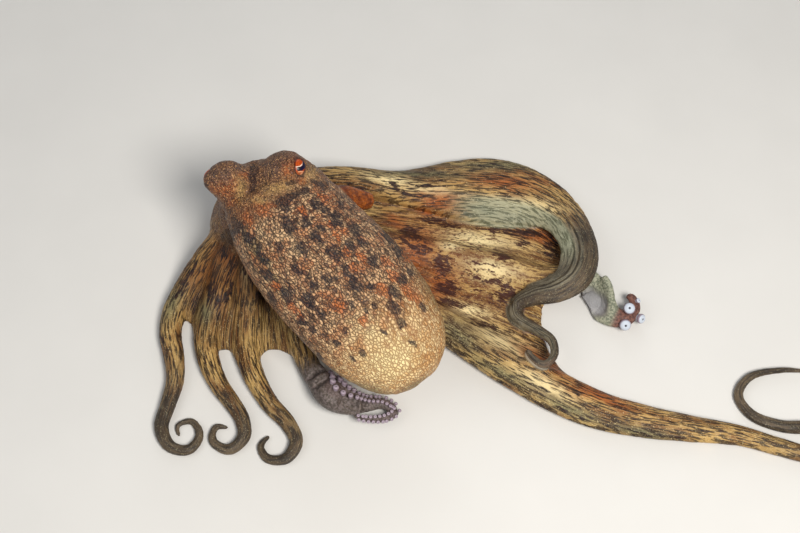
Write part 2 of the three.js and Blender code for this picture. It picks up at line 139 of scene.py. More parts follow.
ARMS = {
    "R1": {
        "line": [
            [12, 10, 34], [36, 28, 22], [61, 37, 12], [86, 40, 3], [113, 40, 0], [142, 40, 0], [168, 38, 0],
            [189, 32, 0], [207, 18, 3], [217, -3, 10], [219, -24, 15], [213, -40, 15], [200, -48, 12],
            [186, -50, 8], [175, -54, 3], [174, -62, 2], [181, -69, 3], [189, -77, 8], [196, -87, 14],
            [196, -99, 17], [189, -105, 17], [182, -100, 17], [179, -93, 16],
        ],
        "radius": 15, "tip": 2, "thin": 0.75, "skirts": [[70, 262, 18, 20], [200, 335, 8, 6]], "joined": 80,
    },
    "R2": {
        "line": [
            [18, 4, 34], [47, -9, 20], [78, -11, 8], [109, -14, 1], [140, -19, 0], [168, -26, 0],
            [192, -33, 0], [209, -32, 0], [224, -34, 1], [231, -44, 1], [234, -55, 1], [240, -62.5, 1],
            [248, -64, 1], [254, -58, 3], [253, -51, 6], [248, -49, 8],
        ],
        "radius": 15, "tip": 2, "thin": 0.4, "skirts": [[198, 262, 4, 8]], "roll": [196, 226, -150],
        "dish": [204, 250, 7], "joined": 190,
    },
    "R3": {
        "line": [
            [20, -8, 32], [48, -34, 20], [78, -47, 9], [112, -63, 1], [142, -82, 0], [171, -101, 0],
            [200, -118, 0], [228, -131, 0], [257, -139, 0], [286, -144, 0], [314, -149, 0], [340, -157, 0],
            [362, -162, 0], [374, -153, 0], [364, -144, 0], [344, -142, 0], [325, -134, 0], [318, -120, 0],
            [327, -107, 1], [348, -102, 2], [370, -103, 2],
        ],
        "radius": 16, "tip": 2, "thin": 0.85, "skirts": [[90, 360, 7, 3]], "joined": 232,
    },
    "R4": {
        "line": [
            [14, -16, 20], [34, -36, 8], [48, -58, 1], [58, -82, 0], [70, -103, 0], [88, -110, 0],
            [102, -98, 0], [98, -82, 0], [84, -80, 0], [80, -90, 0],
        ],
        "radius": 14, "tip": 2.4, "thin": 0.9, "joined": 80,
    },
    "L1": {
        "line": [
            [-10, -6, 34], [-23, -16, 23], [-38, -27, 10], [-50, -41, 2], [-58, -58, 0], [-60, -75, 0],
            [-56, -92, 0], [-54, -110, 0], [-57, -127, 0], [-60, -143, 0], [-53, -156, 0], [-41, -158, 0],
            [-35, -148, 0], [-41, -138, 0], [-50, -141, 0], [-48, -149, 0],
        ],
        "radius": 13.5, "tip": 2, "thin": 0.9, "joined": 90,
    },
    "L2": {
        "line": [
            [-8, -12, 32], [-17, -29, 22], [-26, -46, 8], [-33, -65, 1], [-35, -84, 0], [-31, -100, 0],
            [-24, -114, 0], [-15, -126, 0], [-8, -137, 0], [-6, -149, 0], [-15, -158, 0], [-26, -152, 0],
            [-25, -142, 0], [-16, -142, 0],
        ],
        "radius": 13.5, "tip": 2, "thin": 0.8, "joined": 95,
    },
    "L3": {
        "line": [
            [-2, -16, 30], [-5, -36, 18], [-7, -56, 5], [-8, -80, 0], [-5, -98, 0], [2, -114, 0],
            [11, -128, 0], [22, -140, 0], [28, -153, 0], [22, -164, 0], [10, -164, 0], [5, -155, 0],
            [11, -147, 0],
        ],
        "radius": 13, "tip": 2, "thin": 0.75, "joined": 95,
    },
    "L4": {
        "line": [
            [6, -16, 22], [15, -38, 9], [23, -60, 1], [29, -84, 1], [37, -106, 2], [48, -122, 2],
            [60, -128, 2], [72, -128, 1], [84, -127, 1], [91, -132, 1], [86, -137, 3], [75, -139, 6],
            [64, -138, 9],
        ],
        "radius": 14, "tip": 2, "thin": 0.85, "bulge": [92, 156, 7], "roll": [87, 130, 155], "joined": 80,
    },
}
WEBS = [
    {"arms": ["L1", "R1"], "reach": [26, 48], "notch": 0, "sag": 0.15, "join": [0.8, 0.8]},
    {"arms": ["R1", "R2"], "reach": [240, 205], "notch": 0.02, "sag": 0.4, "join": [0.3, 0.8], "lean": 2},
    {"arms": ["R2", "R3"], "reach": [196, 232], "notch": 0.1, "sag": 0.45, "join": [0.8, 0.8]},
    {"arms": ["R3", "R4"], "reach": [110, 80], "notch": 0.15, "sag": 0.4, "join": [0.8, 0.8]},
    {"arms": ["R4", "L4"], "reach": [80, 80], "notch": 0.2, "sag": 0.4, "join": [0.8, 0.8]},
    {"arms": ["L4", "L3"], "reach": [90, 90], "notch": 0.15, "sag": 0.3, "join": [0.8, 0.8]},
    {"arms": ["L3", "L2"], "reach": [100, 95], "notch": 0.15, "sag": 0.3, "join": [0.8, 0.8]},
    {"arms": ["L2", "L1"], "reach": [95, 85], "notch": 0.12, "sag": 0.3, "join": [0.8, 0.8]},
]
WEB_EDGE = 3.0
WEB_SAMPLES = (900, 700)  # outwards and across
WEB_THINS_FROM = 0.75  # share of its reach
WEB_THINS_ACROSS = 0.5  # power of a half wave from arm to arm
WEB_COVERED = 0.5  # least share of known cells round a web's cell: closes pinholes between samples
WEB_INNER = 0.99  # cells with a larger share aren't its rim
WEB_BLURS = 3
STREAKS_ACROSS = 80.0  # a web's width in streak coordinates
ARM_APART = 40.0  # what parts one arm's streaks from the next one's

# noise: height, width of a cell, seed
RIM_WAVE = (0.8, 9, 3)
RIM_BACK = 0.6  # draws the whole rim in
BORDER_WAVES = [(5, 9, 31), (3, 3, 32)]
PLACE_WAVES = [[(2.2, 5, 21)], [(2.2, 5, 22)]]
FOLD_WAVES = [(0.55, 4.5, 1), (0.3, 2.2, 2)]
ARM_FOLD_WAVES = [(0.3, 3.2, 4)]
ARM_SKIN_WAVES = [(0.15, 2.0, 5)]
BODY_WAVES = [(0.45, 7, 6), (0.28, 3, 7)]
DARK_WAVES = [(1, 8, 11), (0.4, 3.5, 12)]
ORANGE_WAVES = [(1, 7, 13)]
WEB_DARK_WAVES = [(1, 9, 14)]


# ---------------------------------------------------------------- numbers
def mix(a, b, t):
    return a + (b - a) * t


def ramp(x, low, high):
    t = np.clip((x - low) / (high - low), 0, 1)
    return t * t * (3 - 2 * t)


def fall(x, low, high):
    """A ramp from 1 at low down to 0 at high."""
    return ramp(-x, -high, -low)


def hump(s, low, high):
    return np.where((s > low) & (s < high), np.sin(np.pi * (s - low) / (high - low)) ** 2, 0)


def smooth_min(a, b, k):
    h = np.maximum(k - np.abs(a - b), 0) / k
    return np.minimum(a, b) - h * h * k / 4


def smooth_max(a, b, k):
    return -smooth_min(-a, -b, k)


def unit(v):
    return v / np.maximum(np.linalg.norm(v, axis=-1, keepdims=True), 1e-9)


def hashed(cell, seed):
    """An even spread from -1 to 1 over whole-numbered cells: large primes, then shifts that mix the bits."""
    h = cell[:, 0] * 374761393 + cell[:, 1] * 668265263 + cell[:, 2] * 1274126177 + seed * 974711
    h = (h ^ (h >> 13)) * 1103515245 & 0xFFFFFFFF
    return ((h ^ (h >> 16)) & 0xFFFF) / 32767.5 - 1


def eased_corners(f):
    """The corners of each point's cell with their weights; f is the place in the cell."""
    for corner in range(2 ** f.shape[1]):
        step = np.array([corner >> i & 1 for i in range(f.shape[1])])
        yield step, np.prod(np.where(step, f, 1 - f), axis=1)


def value_noise(points, scale, seed=0):
    """Smooth noise from -1 to 1 whose cells are `scale` across."""
    q = points / scale
    cell = np.floor(q).astype(np.int64)
    f = q - cell
    total = np.zeros(len(points))
    for step, weight in eased_corners(f * f * (3 - 2 * f)):
        total += weight * hashed(cell + step, seed)
    return total


def waves(points, rows, total=0):
    """Layers of noise, each with its height, width and seed, on top of a start."""
    for high, wide, seed in rows:
        total = total + high * value_noise(points, wide, seed)
    return total


def curve_through(line, spacing=1.0, samples=80):
    """A centripetal Catmull-Rom curve as points and tangents at even steps."""
    p = np.array(line, float)
    p = np.vstack([2 * p[0] - p[1], p, 2 * p[-1] - p[-2]])
    dense = []
    for i in range(1, len(p) - 2):
        x0, x1, x2, x3 = p[i - 1:i + 3]
        d0, d1, d2 = (
            max(np.sqrt(np.linalg.norm(b - a)), 1e-4) for a, b in ((x0, x1), (x1, x2), (x2, x3))
        )
        t1 = ((x1 - x0) / d0 - (x2 - x0) / (d0 + d1) + (x2 - x1) / d1) * d1
        t2 = ((x2 - x1) / d1 - (x3 - x1) / (d1 + d2) + (x3 - x2) / d2) * d1
        t = np.linspace(0, 1, samples, endpoint=False)[:, None]
        square = (3 * (x2 - x1) - 2 * t1 - t2) * t**2
        dense.append(x1 + t1 * t + square + (2 * (x1 - x2) + t1 + t2) * t**3)
    dense = np.vstack(dense + [p[-2][None]])
    s = np.concatenate([[0], np.cumsum(np.linalg.norm(np.diff(dense, axis=0), axis=1))])
    at = np.linspace(0, s[-1], max(2, round(s[-1] / spacing) + 1))
    points = np.stack([np.interp(at, s, dense[:, i]) for i in range(3)], 1)
    return at, points, unit(np.gradient(points, axis=0))


def frame_of(tangent):
    """Level and upward unit vectors across a line's tangents."""
    side = unit(np.stack([tangent[:, 1], -tangent[:, 0], np.zeros(len(tangent))], 1))
    return side, unit(np.cross(side, tangent))


# ---------------------------------------------------------------- grid
LOW = np.array([-78.0, -177.0, -3.0])
HIGH = np.array([388.0, 78.0, 120.0])
COUNT = np.ceil((HIGH - LOW) / VOXEL).astype(int) + 1
LOW[2] = -2 * VOXEL


class Window:
    """A box of grid cells with their points."""

    def __init__(self, low, high):
        self.first = np.clip(np.floor((np.asarray(low) - LOW) / VOXEL).astype(int), 0, COUNT - 1)
        last = np.ceil((np.asarray(high) - LOW) / VOXEL).astype(int) + 1
        self.last = np.clip(last, self.first + 1, COUNT)
        self.cells = tuple(slice(a, b) for a, b in zip(self.first, self.last))
        self.shape = tuple(self.last - self.first)

    def points(self):
        ranges = [np.arange(a, b) for a, b in zip(self.first, self.last)]
        axes = [(low + cells * VOXEL).astype(np.float32) for low, cells in zip(LOW, ranges)]
        return np.stack(np.meshgrid(*axes, indexing="ij"), -1).reshape(-1, 3)


def add_shape(field, low, high, distance, k, carve=False):
    """Blends a shape into a field over k millimetres, or cuts it out."""
    win = Window(low, high)
    found = distance(win.points()).reshape(win.shape)
    here = field[win.cells]
    field[win.cells] = smooth_max(here, -found, k) if carve else smooth_min(here, found, k)


def batches(points, size):
    """Slices of a long list with their points, so that a table of all distances fits in memory."""
    for start in range(0, len(points), size):
        yield slice(start, start + size), points[start:start + size].astype(np.float32)


def nearest(points, line):
    """The index of the line's sample nearest to each point."""
    line = line.astype(np.float32)
    square = (line**2).sum(1)
    found = np.empty(len(points), np.int32)
    for cut, part in batches(points, NEAREST_BATCH):
        found[cut] = (square - 2 * part @ line.T).argmin(1)
    return found


# ---------------------------------------------------------------- mantle, head, crown, siphon
mantle_s, mantle_line, mantle_tangent = curve_through(MANTLE_AXIS, 3.0)
mantle_side, mantle_up = frame_of(mantle_tangent)
MANTLE_LENGTH = mantle_s[-1]


def mantle_place(points):
    """Distance along, across and above the mantle's axis; along goes on past both ends."""
    near = nearest(points, mantle_line)
    delta = points - mantle_line[near]
    along = mantle_s[near] + (delta * mantle_tangent[near]).sum(1)
    return along, (delta * mantle_side[near]).sum(1), (delta * mantle_up[near]).sum(1)


def mantle_distance(points):
    along, a, b = mantle_place(points)
    t = along / MANTLE_LENGTH
    front = np.clip(1 - t / MANTLE_WIDEST_AT, 0, MANTLE_TAPER_LIMIT) ** 2
    wide, tall = (half * (1 - (1 - neck) * front) for half, neck in zip(MANTLE_HALF, MANTLE_NECK))
    q = np.hypot(a / wide, b / tall)
    rear = np.clip((t - MANTLE_WIDEST_AT) / (1 - MANTLE_WIDEST_AT), 0, None)
    level = (rear**MANTLE_BLUNT + q**MANTLE_BLUNT) ** (1 / MANTLE_BLUNT)
    # the level's own slope turns it into a distance
    across = np.hypot(a / wide**2, b / tall**2) / np.maximum(q, TINY)
    rear_slope = (rear / np.maximum(level, TINY)) ** (MANTLE_BLUNT - 1)
    slope = np.hypot(
        across * (q / np.maximum(level, TINY)) ** (MANTLE_BLUNT - 1),
        rear_slope / ((1 - MANTLE_WIDEST_AT) * MANTLE_LENGTH),
    )
    return np.maximum((level - 1) / np.maximum(slope, MANTLE_LEAST_SLOPE), MANTLE_FRONT - along)


def ellipsoid_distance(centre, half, yaw):
    turn = np.array([[math.cos(yaw), math.sin(yaw), 0], [-math.sin(yaw), math.cos(yaw), 0], [0, 0, 1]])

    def distance(points):
        p = (points - np.array(centre)) @ turn.T
        q = np.linalg.norm(p / half, axis=1)
        return q * (q - 1) / np.maximum(np.linalg.norm(p / np.square(half), axis=1), TINY)

    return distance


def crown_distance(points):
    ring = np.array(CROWN, float)
    z = points[:, 2]
    x, y, r = (np.interp(z, ring[:, 2], ring[:, i]) for i in (0, 1, 3))
    return np.maximum(np.hypot(points[:, 0] - x, points[:, 1] - y) - r, z - ring[-1, 2])


def tube_distance(line, radii):
    s, centre, tangent = curve_through(line)
    radius = np.interp(s / s[-1], np.linspace(0, 1, len(radii)), radii)

    def distance(points):
        near = nearest(points, centre)
        delta = points - centre[near]
        along = (delta * tangent[near]).sum(1)
        across = np.sqrt(np.maximum((delta**2).sum(1) - along**2, 0))
        return smooth_max(across - radius[near], np.abs(along) - TUBE_END, TUBE_ROUND)

    return distance


def around(centre, reach):
    return np.array(centre) - reach, np.array(centre) + reach


print("body")
body = np.full(COUNT, FAR, np.float32)
add_shape(body, *MANTLE_BOX, mantle_distance, MANTLE_BLEND)
head_distance = ellipsoid_distance(HEAD_CENTRE, HEAD_HALF, HEAD_YAW)
add_shape(body, *around(HEAD_CENTRE, HEAD_REACH), head_distance, HEAD_BLEND)
for centre, radius in MOUNDS:
    add_shape(body, *around(centre, MOUND_REACH), ellipsoid_distance(centre, [radius] * 3, 0), MOUND_BLEND)
add_shape(body, *CROWN_BOX, crown_distance, CROWN_BLEND)
siphon_box = np.min(SIPHON_ROUTE, 0) - SIPHON_REACH, np.max(SIPHON_ROUTE, 0) + SIPHON_REACH
siphon_distance = tube_distance(SIPHON_ROUTE, SIPHON_RADIUS)
add_shape(body, *siphon_box, siphon_distance, SIPHON_BLEND)
siphon_end = np.array(SIPHON_ROUTE[-1], float)
siphon_way = unit(siphon_end - np.array(SIPHON_ROUTE[-2]))
bore = [siphon_end - siphon_way * BORE_DEPTH, siphon_end + siphon_way * BORE_PAST]
add_shape(body, *siphon_box, tube_distance(bore, BORE_RADIUS), BORE_BLEND, carve=True)


# ---------------------------------------------------------------- arms
class Arm:
    """One arm, with its radius, directions, skirts and dish at each sample of its line."""

    def __init__(self, number, spec):
        s, line, tangent = curve_through(spec["line"])
        length = s[-1]
        tip = spec["tip"]
        radius = tip + (spec["radius"] - tip) * np.clip(1 - s / length, 0, None) ** spec["thin"]
        bulge, roll, dish = (spec.get(key, [0, 1, 0]) for key in ("bulge", "roll", "dish"))
        radius = radius + bulge[2] * hump(s, *bulge[:2])
        ends = np.clip((s - (length - tip * TIP_ROUND)) / (tip * TIP_ROUND), 0, TIP_LEAST)
        radius = radius * np.sqrt(1 - ends**2)
        side, up = frame_of(tangent)
        centre = line + up * (AXIS_HEIGHT * radius)[:, None]
        angle = (np.radians(roll[2]) * ramp(s, *roll[:2]))[:, None]
        c, n = np.cos(angle), np.sin(angle)
        self.number, self.s, self.length, self.radius = number, s, length, radius
        self.tangent, self.side, self.up = tangent, side * c - up * n, side * n + up * c
        self.skirt = [
            sum((skirt[2 + i] * hump(s, *skirt[:2]) for skirt in spec.get("skirts", [])), 0 * s)
            for i in (0, 1)
        ]
        self.dish = dish[2] * hump(s, *dish[:2])
        self.axis = AXIS_HEIGHT * radius
        self.joined = spec["joined"]
        lowest = np.min([
            (centre + self.side * (sign * x)[:, None] + self.up * (y - self.axis)[:, None])[:, 2]
            for i, sign in ((0, 1), (1, -1)) for x, y in self.corners(slice(None), i)
        ], axis=0)
        self.centre = centre + np.array([0, 0, 1]) * np.maximum(0, -lowest)[:, None]
        self.reach = radius * ARM_REACH + np.maximum(*self.skirt) + ARM_END
        for name in ("s", "radius", "tangent", "side", "up", "axis", "centre", "reach", "dish"):
            setattr(self, name, getattr(self, name).astype(np.float32))
        self.skirt = [f.astype(np.float32) for f in self.skirt]

    def corners(self, j, i):
        """The section's corners at sample j on side i, as distance out and height over the sole."""
        r, f = self.radius[j], self.skirt[i][j]
        flat = f / (f + r)
        return [
            (SOLE_HALF * r, 0 * r),
            (BELLY[0] * r + f, mix(BELLY[1], SKIRT_BELLY, flat) * r),
            (SHOULDER[0] * r + f, mix(SHOULDER[1], SKIRT_SHOULDER, flat) * r),
            (RIDGE[0] * r, RIDGE[1] * r),
        ]

    def section(self, first, last, points):
        """Distance to the arm's surface with the place on it: distance along, across and up from the sole."""
        c = self.centre[first:last].astype(np.float32)
        j = ((c**2).sum(1) - 2 * points @ c.T).argmin(1) + first
        delta = points - self.centre[j]
        a = (delta * self.side[j]).sum(1)
        b = (delta * self.up[j]).sum(1) + self.axis[j]
        t = (delta * self.tangent[j]).sum(1)
        r = self.radius[j]
        half = DISH_HALF * (r + self.skirt[0][j])
        hollow = self.dish[j] * np.clip(1 - (a / half) ** 2, 0, 1)
        walls = [hollow - b, b - RIDGE[1] * r]
        for i, x in ((0, a), (1, -a)):
            corners = self.corners(j, i)
            for (x0, y0), (x1, y1) in zip(corners, corners[1:]):
                dx, dy = x1 - x0, y1 - y0
                walls.append(((x - x0) * dy - (b - y0) * dx) / np.maximum(np.hypot(dx, dy), TINY))
        k = EDGE_ROUND[0] * r + EDGE_ROUND[1]
        most = np.max(walls, axis=0)
        distance = most + k * np.log(sum(np.exp((w - most) / k) for w in walls))
        return np.maximum(distance, np.abs(t) - ARM_END), self.s[j] + t, a, b

    def lengths(self, margin):
        """Short stretches of the arm: their samples and the box they reach."""
        for first in range(0, len(self.s), STRETCH_SAMPLES):
            last = min(len(self.s), first + STRETCH_SAMPLES)
            reach = self.reach[first:last, None] + margin
            low = (self.centre[first:last] - reach).min(0)
            high = (self.centre[first:last] + reach).max(0)
            yield max(0, first - STRETCH_OVERLAP), min(len(self.s), last + STRETCH_OVERLAP), low, high


arms = {name: Arm(i, spec) for i, (name, spec) in enumerate(ARMS.items())}


# ---------------------------------------------------------------- webs, as maps seen from above
def blurred(values, times=1):
    for axis in list(range(values.ndim)) * times:
        values = (np.roll(values, 1, axis) + 2 * values + np.roll(values, -1, axis)) / 4
    return values


print("webs")
MAP_SHAPE = tuple(COUNT[:2])
web_top = np.full(MAP_SHAPE, -1.0)
web_flow = np.zeros(MAP_SHAPE + (2,))
for index, web in enumerate(WEBS):
    # row goes outwards and v from one arm to the other; u is row, drawn in by the notch
    row = np.linspace(0, 1, WEB_SAMPLES[0])[:, None]
    v = np.linspace(0, 1, WEB_SAMPLES[1])[None, :]
    u = row * (1 - web["notch"] * np.sin(np.pi * v))
    row = row * np.ones_like(v)
    ends = []
    for name, reach, join in zip(web["arms"], web["reach"], web["join"]):
        arm = arms[name]
        s = u * reach
        sole = arm.centre - arm.up * arm.axis[:, None]
        x, y, z = (np.interp(s, arm.s, sole[:, i]) for i in range(3))
        high = z + join * np.interp(s, arm.s, arm.radius)
        ends.append((np.arctan2(y, x), np.hypot(x, y), high, s))
    swing = ends[1][0] - ends[0][0]
    swing = np.where(swing > 0, swing - 2 * np.pi, swing)  # clockwise, seen from above
    turn = ends[0][0] + swing * v
    far, along = (mix(ends[0][i], ends[1][i], v) for i in (1, 3))
    high = mix(ends[0][2], ends[1][2], v ** web.get("lean", 1))
    high = high * (1 - web["sag"] * np.sin(np.pi * v))
    thin = mix(high, WEB_EDGE, ramp(row, WEB_THINS_FROM, 1) * np.sin(np.pi * v) ** WEB_THINS_ACROSS)
    ix = np.rint((far * np.cos(turn) - LOW[0]) / VOXEL).astype(int).ravel()
    iy = np.rint((far * np.sin(turn) - LOW[1]) / VOXEL).astype(int).ravel()
    order = np.argsort(thin.ravel())
    ix, iy = ix[order], iy[order]
    web_top[ix, iy] = np.maximum(web_top[ix, iy], np.maximum(WEB_EDGE, thin).ravel()[order])
    web_flow[ix, iy, 0] = along.ravel()[order]
    web_flow[ix, iy, 1] = ((index + v) * np.ones_like(u)).ravel()[order]

# the webs' rim, and how far each cell is from it
known = web_top > 0
known_round = blurred(known.astype(float))
covered = known_round > WEB_COVERED
edge = covered & (known_round < WEB_INNER) & known
cells = np.stack(np.meshgrid(*(np.arange(n) for n in MAP_SHAPE), indexing="ij"), -1).reshape(-1, 2)
rim = cells[edge.ravel()].astype(np.float32)
edge_gap = np.empty(len(cells))
edge_near = np.empty(len(cells), int)
for cut, part in batches(cells, RIM_BATCH):
    gap = (rim**2).sum(1) - 2 * part @ rim.T
    edge_near[cut] = gap.argmin(1)
    edge_gap[cut] = np.sqrt(np.maximum(gap.min(1) + (part**2).sum(1), 0))
edge_gap = edge_gap.reshape(MAP_SHAPE) * VOXEL
edge_gap = np.where(covered, -edge_gap, edge_gap)
from_rim = rim[edge_near].astype(int).reshape(MAP_SHAPE + (2,))
web_top = np.where(known, web_top, web_top[from_rim[..., 0], from_rim[..., 1]])
web_flow = np.where(known[..., None], web_flow, web_flow[from_rim[..., 0], from_rim[..., 1]])
web_top = blurred(web_top, WEB_BLURS)
map_points = np.dstack([LOW[0] + cells[:, 0] * VOXEL, LOW[1] + cells[:, 1] * VOXEL, 0 * cells[:, 0]])[0]
edge_gap = edge_gap + value_noise(map_points, *RIM_WAVE[1:]).reshape(MAP_SHAPE) * RIM_WAVE[0] + RIM_BACK

# ---------------------------------------------------------------- webs and arms as one field
WEB_RIM_ROUND = 2.5
BOX_MARGIN = 12
STRETCH_MARGIN = 9
ARM_BLEND = (7.0, 1.5)  # where webs join it, and beyond
JOIN_HALF = 15

slope = np.gradient(web_top, VOXEL)
steep = np.sqrt(1 + slope[0] ** 2 + slope[1] ** 2).astype(np.float32)
web_top = web_top.astype(np.float32)
z = (LOW[2] + np.arange(COUNT[2]) * VOXEL).astype(np.float32)
limbs = (z[None, None, :] - web_top[..., None]) / steep[..., None]
limbs = smooth_max(limbs, edge_gap[..., None].astype(np.float32), WEB_RIM_ROUND)

print("arms")
for arm in arms.values():
    low = (arm.centre - arm.reach[:, None]).min(0) - BOX_MARGIN
    high = (arm.centre + arm.reach[:, None]).max(0) + BOX_MARGIN
    whole = Window(low, high)
    found = np.full(whole.shape, FAR, np.float32)
    along = np.zeros(whole.shape, np.float32)
    for first, last, low, high in arm.lengths(STRETCH_MARGIN):
        win = Window(low, high)
        d, s, _, _ = (x.reshape(win.shape) for x in arm.section(first, last, win.points()))
        cells_in = tuple(slice(a - o, b - o) for a, b, o in zip(win.first, win.last, whole.first))
        less = d < found[cells_in]
        found[cells_in] = np.where(less, d, found[cells_in])
        along[cells_in] = np.where(less, s, along[cells_in])
    blend = mix(*ARM_BLEND, ramp(along, arm.joined - JOIN_HALF, arm.joined + JOIN_HALF)).astype(np.float32)
    limbs[whole.cells] = smooth_min(limbs[whole.cells], found, blend)

# ---------------------------------------------------------------- one skin
NECK_AT = (5, -8)
NECK_BLEND = (9.0, 2.5)  # round the crown, and outside it
NECK_SPAN = (32, 55)
FIELD_BAND = 3  # in voxels, the part of the field that is kept on each side of the skin
FLOOR_BAND = 0.6  # in voxels; what lies in it stays on the floor
LAST_CELL = 1.001  # keeps the cell after a point's own cell on the grid
RELAX_TIMES = 3

print("skin")
plan = np.hypot(
    (LOW[0] + np.arange(COUNT[0]) * VOXEL - NECK_AT[0])[:, None],
    (LOW[1] + np.arange(COUNT[1]) * VOXEL - NECK_AT[1])[None, :],
)
neck_blend = mix(*NECK_BLEND, ramp(plan, *NECK_SPAN))[..., None].astype(np.float32)
skin_field = smooth_min(body, limbs, neck_blend)


def eye_plane(points, eye):
    """Points in an eye's own axes, with how far out they are in the lids' opening, 1 at its edge."""
    p = (points - eye["at"]) @ eye["axes"].T
    return p, np.hypot(p[:, 0] / LID_OPENING[0], p[:, 1] / LID_OPENING[1])


for eye in EYES.values():
    out, upright = unit(np.array(eye["faces"])), np.array(eye["upright"])
    upright = unit(upright - out * (upright @ out))
    eye["at"] = np.array(eye["at"], float)
    eye["axes"] = np.stack([upright, np.cross(out, upright), out])

    def lid_distance(points, eye=eye):
        return np.linalg.norm(points - eye["at"], axis=1) - LID_RADIUS

    def opening_distance(points, eye=eye):
        p, q = eye_plane(points, eye)
        return np.maximum((q - 1) * LID_OPENING[1], LID_INNER_END - p[:, 2])

    lid_box = around(eye["at"], LID_REACH)
    add_shape(skin_field, *lid_box, lid_distance, LID_BLEND)
    add_shape(skin_field, *lid_box, opening_distance, LID_EDGE, carve=True)

skin_field = np.maximum(blurred(skin_field), -z[None, None, :])
band = FIELD_BAND * VOXEL
grid = openvdb.FloatGrid(background=band)
grid.copyFromArray(np.clip(skin_field, -band, band).astype(np.float32), tolerance=0)
points, quads = grid.convertToQuads(isovalue=0.0)
points = points.astype(float) * VOXEL + LOW
print("skin quads", len(quads))


def sampled(volume, points):
    """The value of a grid field, or of a map, at points."""
    axes = volume.ndim if volume.ndim < 3 or volume.shape[2] > 2 else 2
    q = np.clip((points[:, :axes] - LOW[:axes]) / VOXEL, 0, COUNT[:axes] - LAST_CELL)
    cell = q.astype(int)
    total = 0
    for step, weight in eased_corners(q - cell):
        value = volume[tuple((cell + step).T)]
        total = total + (weight[:, None] * value if value.ndim > 1 else weight * value)
    return total


def normals_of(points, quads):
    n = np.cross(points[quads[:, 2]] - points[quads[:, 0]], points[quads[:, 3]] - points[quads[:, 1]])
    corner = quads.ravel()
    return unit(np.stack([np.bincount(corner, np.repeat(n[:, i], 4), len(points)) for i in range(3)], 1))


def relaxed(points, quads, times):
    """Points drawn towards their neighbours, which takes the grid's steps away."""
    start = quads.ravel()
    end = np.roll(quads, -1, axis=1).ravel()
    count = np.bincount(start, minlength=len(points)) + np.bincount(end, minlength=len(points))
    for _ in range(times):
        total = np.stack([
            np.bincount(start, points[end, i], len(points)) + np.bincount(end, points[start, i], len(points))
            for i in range(3)
        ], 1)
        points = mix(points, total / count[:, None], 0.5)
    return points


def grounded(points):
    """Points with the flats on the floor, and none under it."""
    height = np.where(on_floor, 0, np.maximum(points[:, 2], 0))
    return np.column_stack([points[:, :2], height])


on_floor = points[:, 2] < FLOOR_BAND * VOXEL
points = grounded(relaxed(points, quads, RELAX_TIMES))
normals = normals_of(points, quads)
if (normals * (points - points.mean(0))).sum() < 0:
    quads = quads[:, ::-1]
    normals = -normals


# ---------------------------------------------------------------- places in the picture
def on_picture(points):
    p = points - CAMERA_AT
    depth = p @ SIGHT
    right, up = FOCAL_PIXELS * p[:, 0] / depth, FOCAL_PIXELS * (p @ PICTURE_UP) / depth
    return np.stack([PICTURE[0] / 2 + right, PICTURE[1] / 2 - up], 1)


seen = on_picture(points) + np.stack([waves(points, rows) for rows in PLACE_WAVES], 1)


def spots(places, sharp=2.0):
    """Uneven ellipses: centre, half sizes and tilt in degrees, where they lie in the picture."""
    total = np.zeros(len(seen))
    for x, y, rx, ry, tilt in places:
        c, n = math.cos(math.radians(tilt)), math.sin(math.radians(tilt))
        dx, dy = seen[:, 0] - x, seen[:, 1] - y
        q = ((dx * c + dy * n) / rx) ** 2 + ((-dx * n + dy * c) / ry) ** 2
        total = np.maximum(total, np.exp(-(q**sharp)))
    return total


# ---------------------------------------------------------------- where each point of the skin lies
PLACE_MARGIN = 4  # points further than this from an arm get no place on it
BODY_BORDER = 5  # half the width of the border between body and limbs
WEB_CLEAR = (4, 9)  # height over the web at which a point is on the arm alone
RIM_CLEAR = (-1, 3)
ARM_JOINED_HALF = 20
ARM_SKIN = (0.5, 2.0)
SOLE_UP = 0.32  # share of the radius
SOLE_EDGE = 1.2
FREE_FROM = {"R1": (215, 250), "R2": (205, 225), "R3": (330, 430), "L4": (85, 105)}
FREE_ELSE = (100, 170)
# R1's inner side and flap: places across it in half widths, then along it
INNER_SIDE = (-0.2, 0.0)
FLAP_SIDE = (0.2, 0.45)
FLAP_FROM = (125, 160)
FLAP_TO = (250, 275)
# R2's end: places along it, and the bowl as an ellipse in the picture
STUB_FROM = (251, 255)
LIP_FROM = (203, 213)
BOWL = (590, 303, 17, 14, 28)
BOWL_EDGE = 3.0
BOWL_DEPTH = 4.0
HEAD_ENDS = (-4, 16)  # along the mantle
LID_RING = (1.1, 1.55)
LID_SHELL = (9, 11)
SIPHON_SKIN = (0.5, 3.0)
SIPHON_FREE = (-0.5, 2.5)  # distance from the mantle

arm_gap = np.full(len(points), FAR)
arm_flow = np.zeros((len(points), 3))
arm_number = np.zeros(len(points), int)
for arm in arms.values():
    for first, last, low, high in arm.lengths(PLACE_MARGIN):
        inside = np.flatnonzero(((points >= low) & (points <= high)).all(1))
        d, s, a, b = arm.section(first, last, points[inside].astype(np.float32))
        less = d < arm_gap[inside]
        inside = inside[less]
        arm_gap[inside] = d[less]
        arm_flow[inside] = np.stack([s, a, b], 1)[less]
        arm_number[inside] = arm.number
arm_along, arm_across, arm_up = arm_flow.T
body_gap = sampled(body, points)
limb_gap = sampled(limbs, points)
web_high = sampled(web_top, points)
flow = sampled(web_flow, points)
along, across, above = mantle_place(points.astype(np.float32))

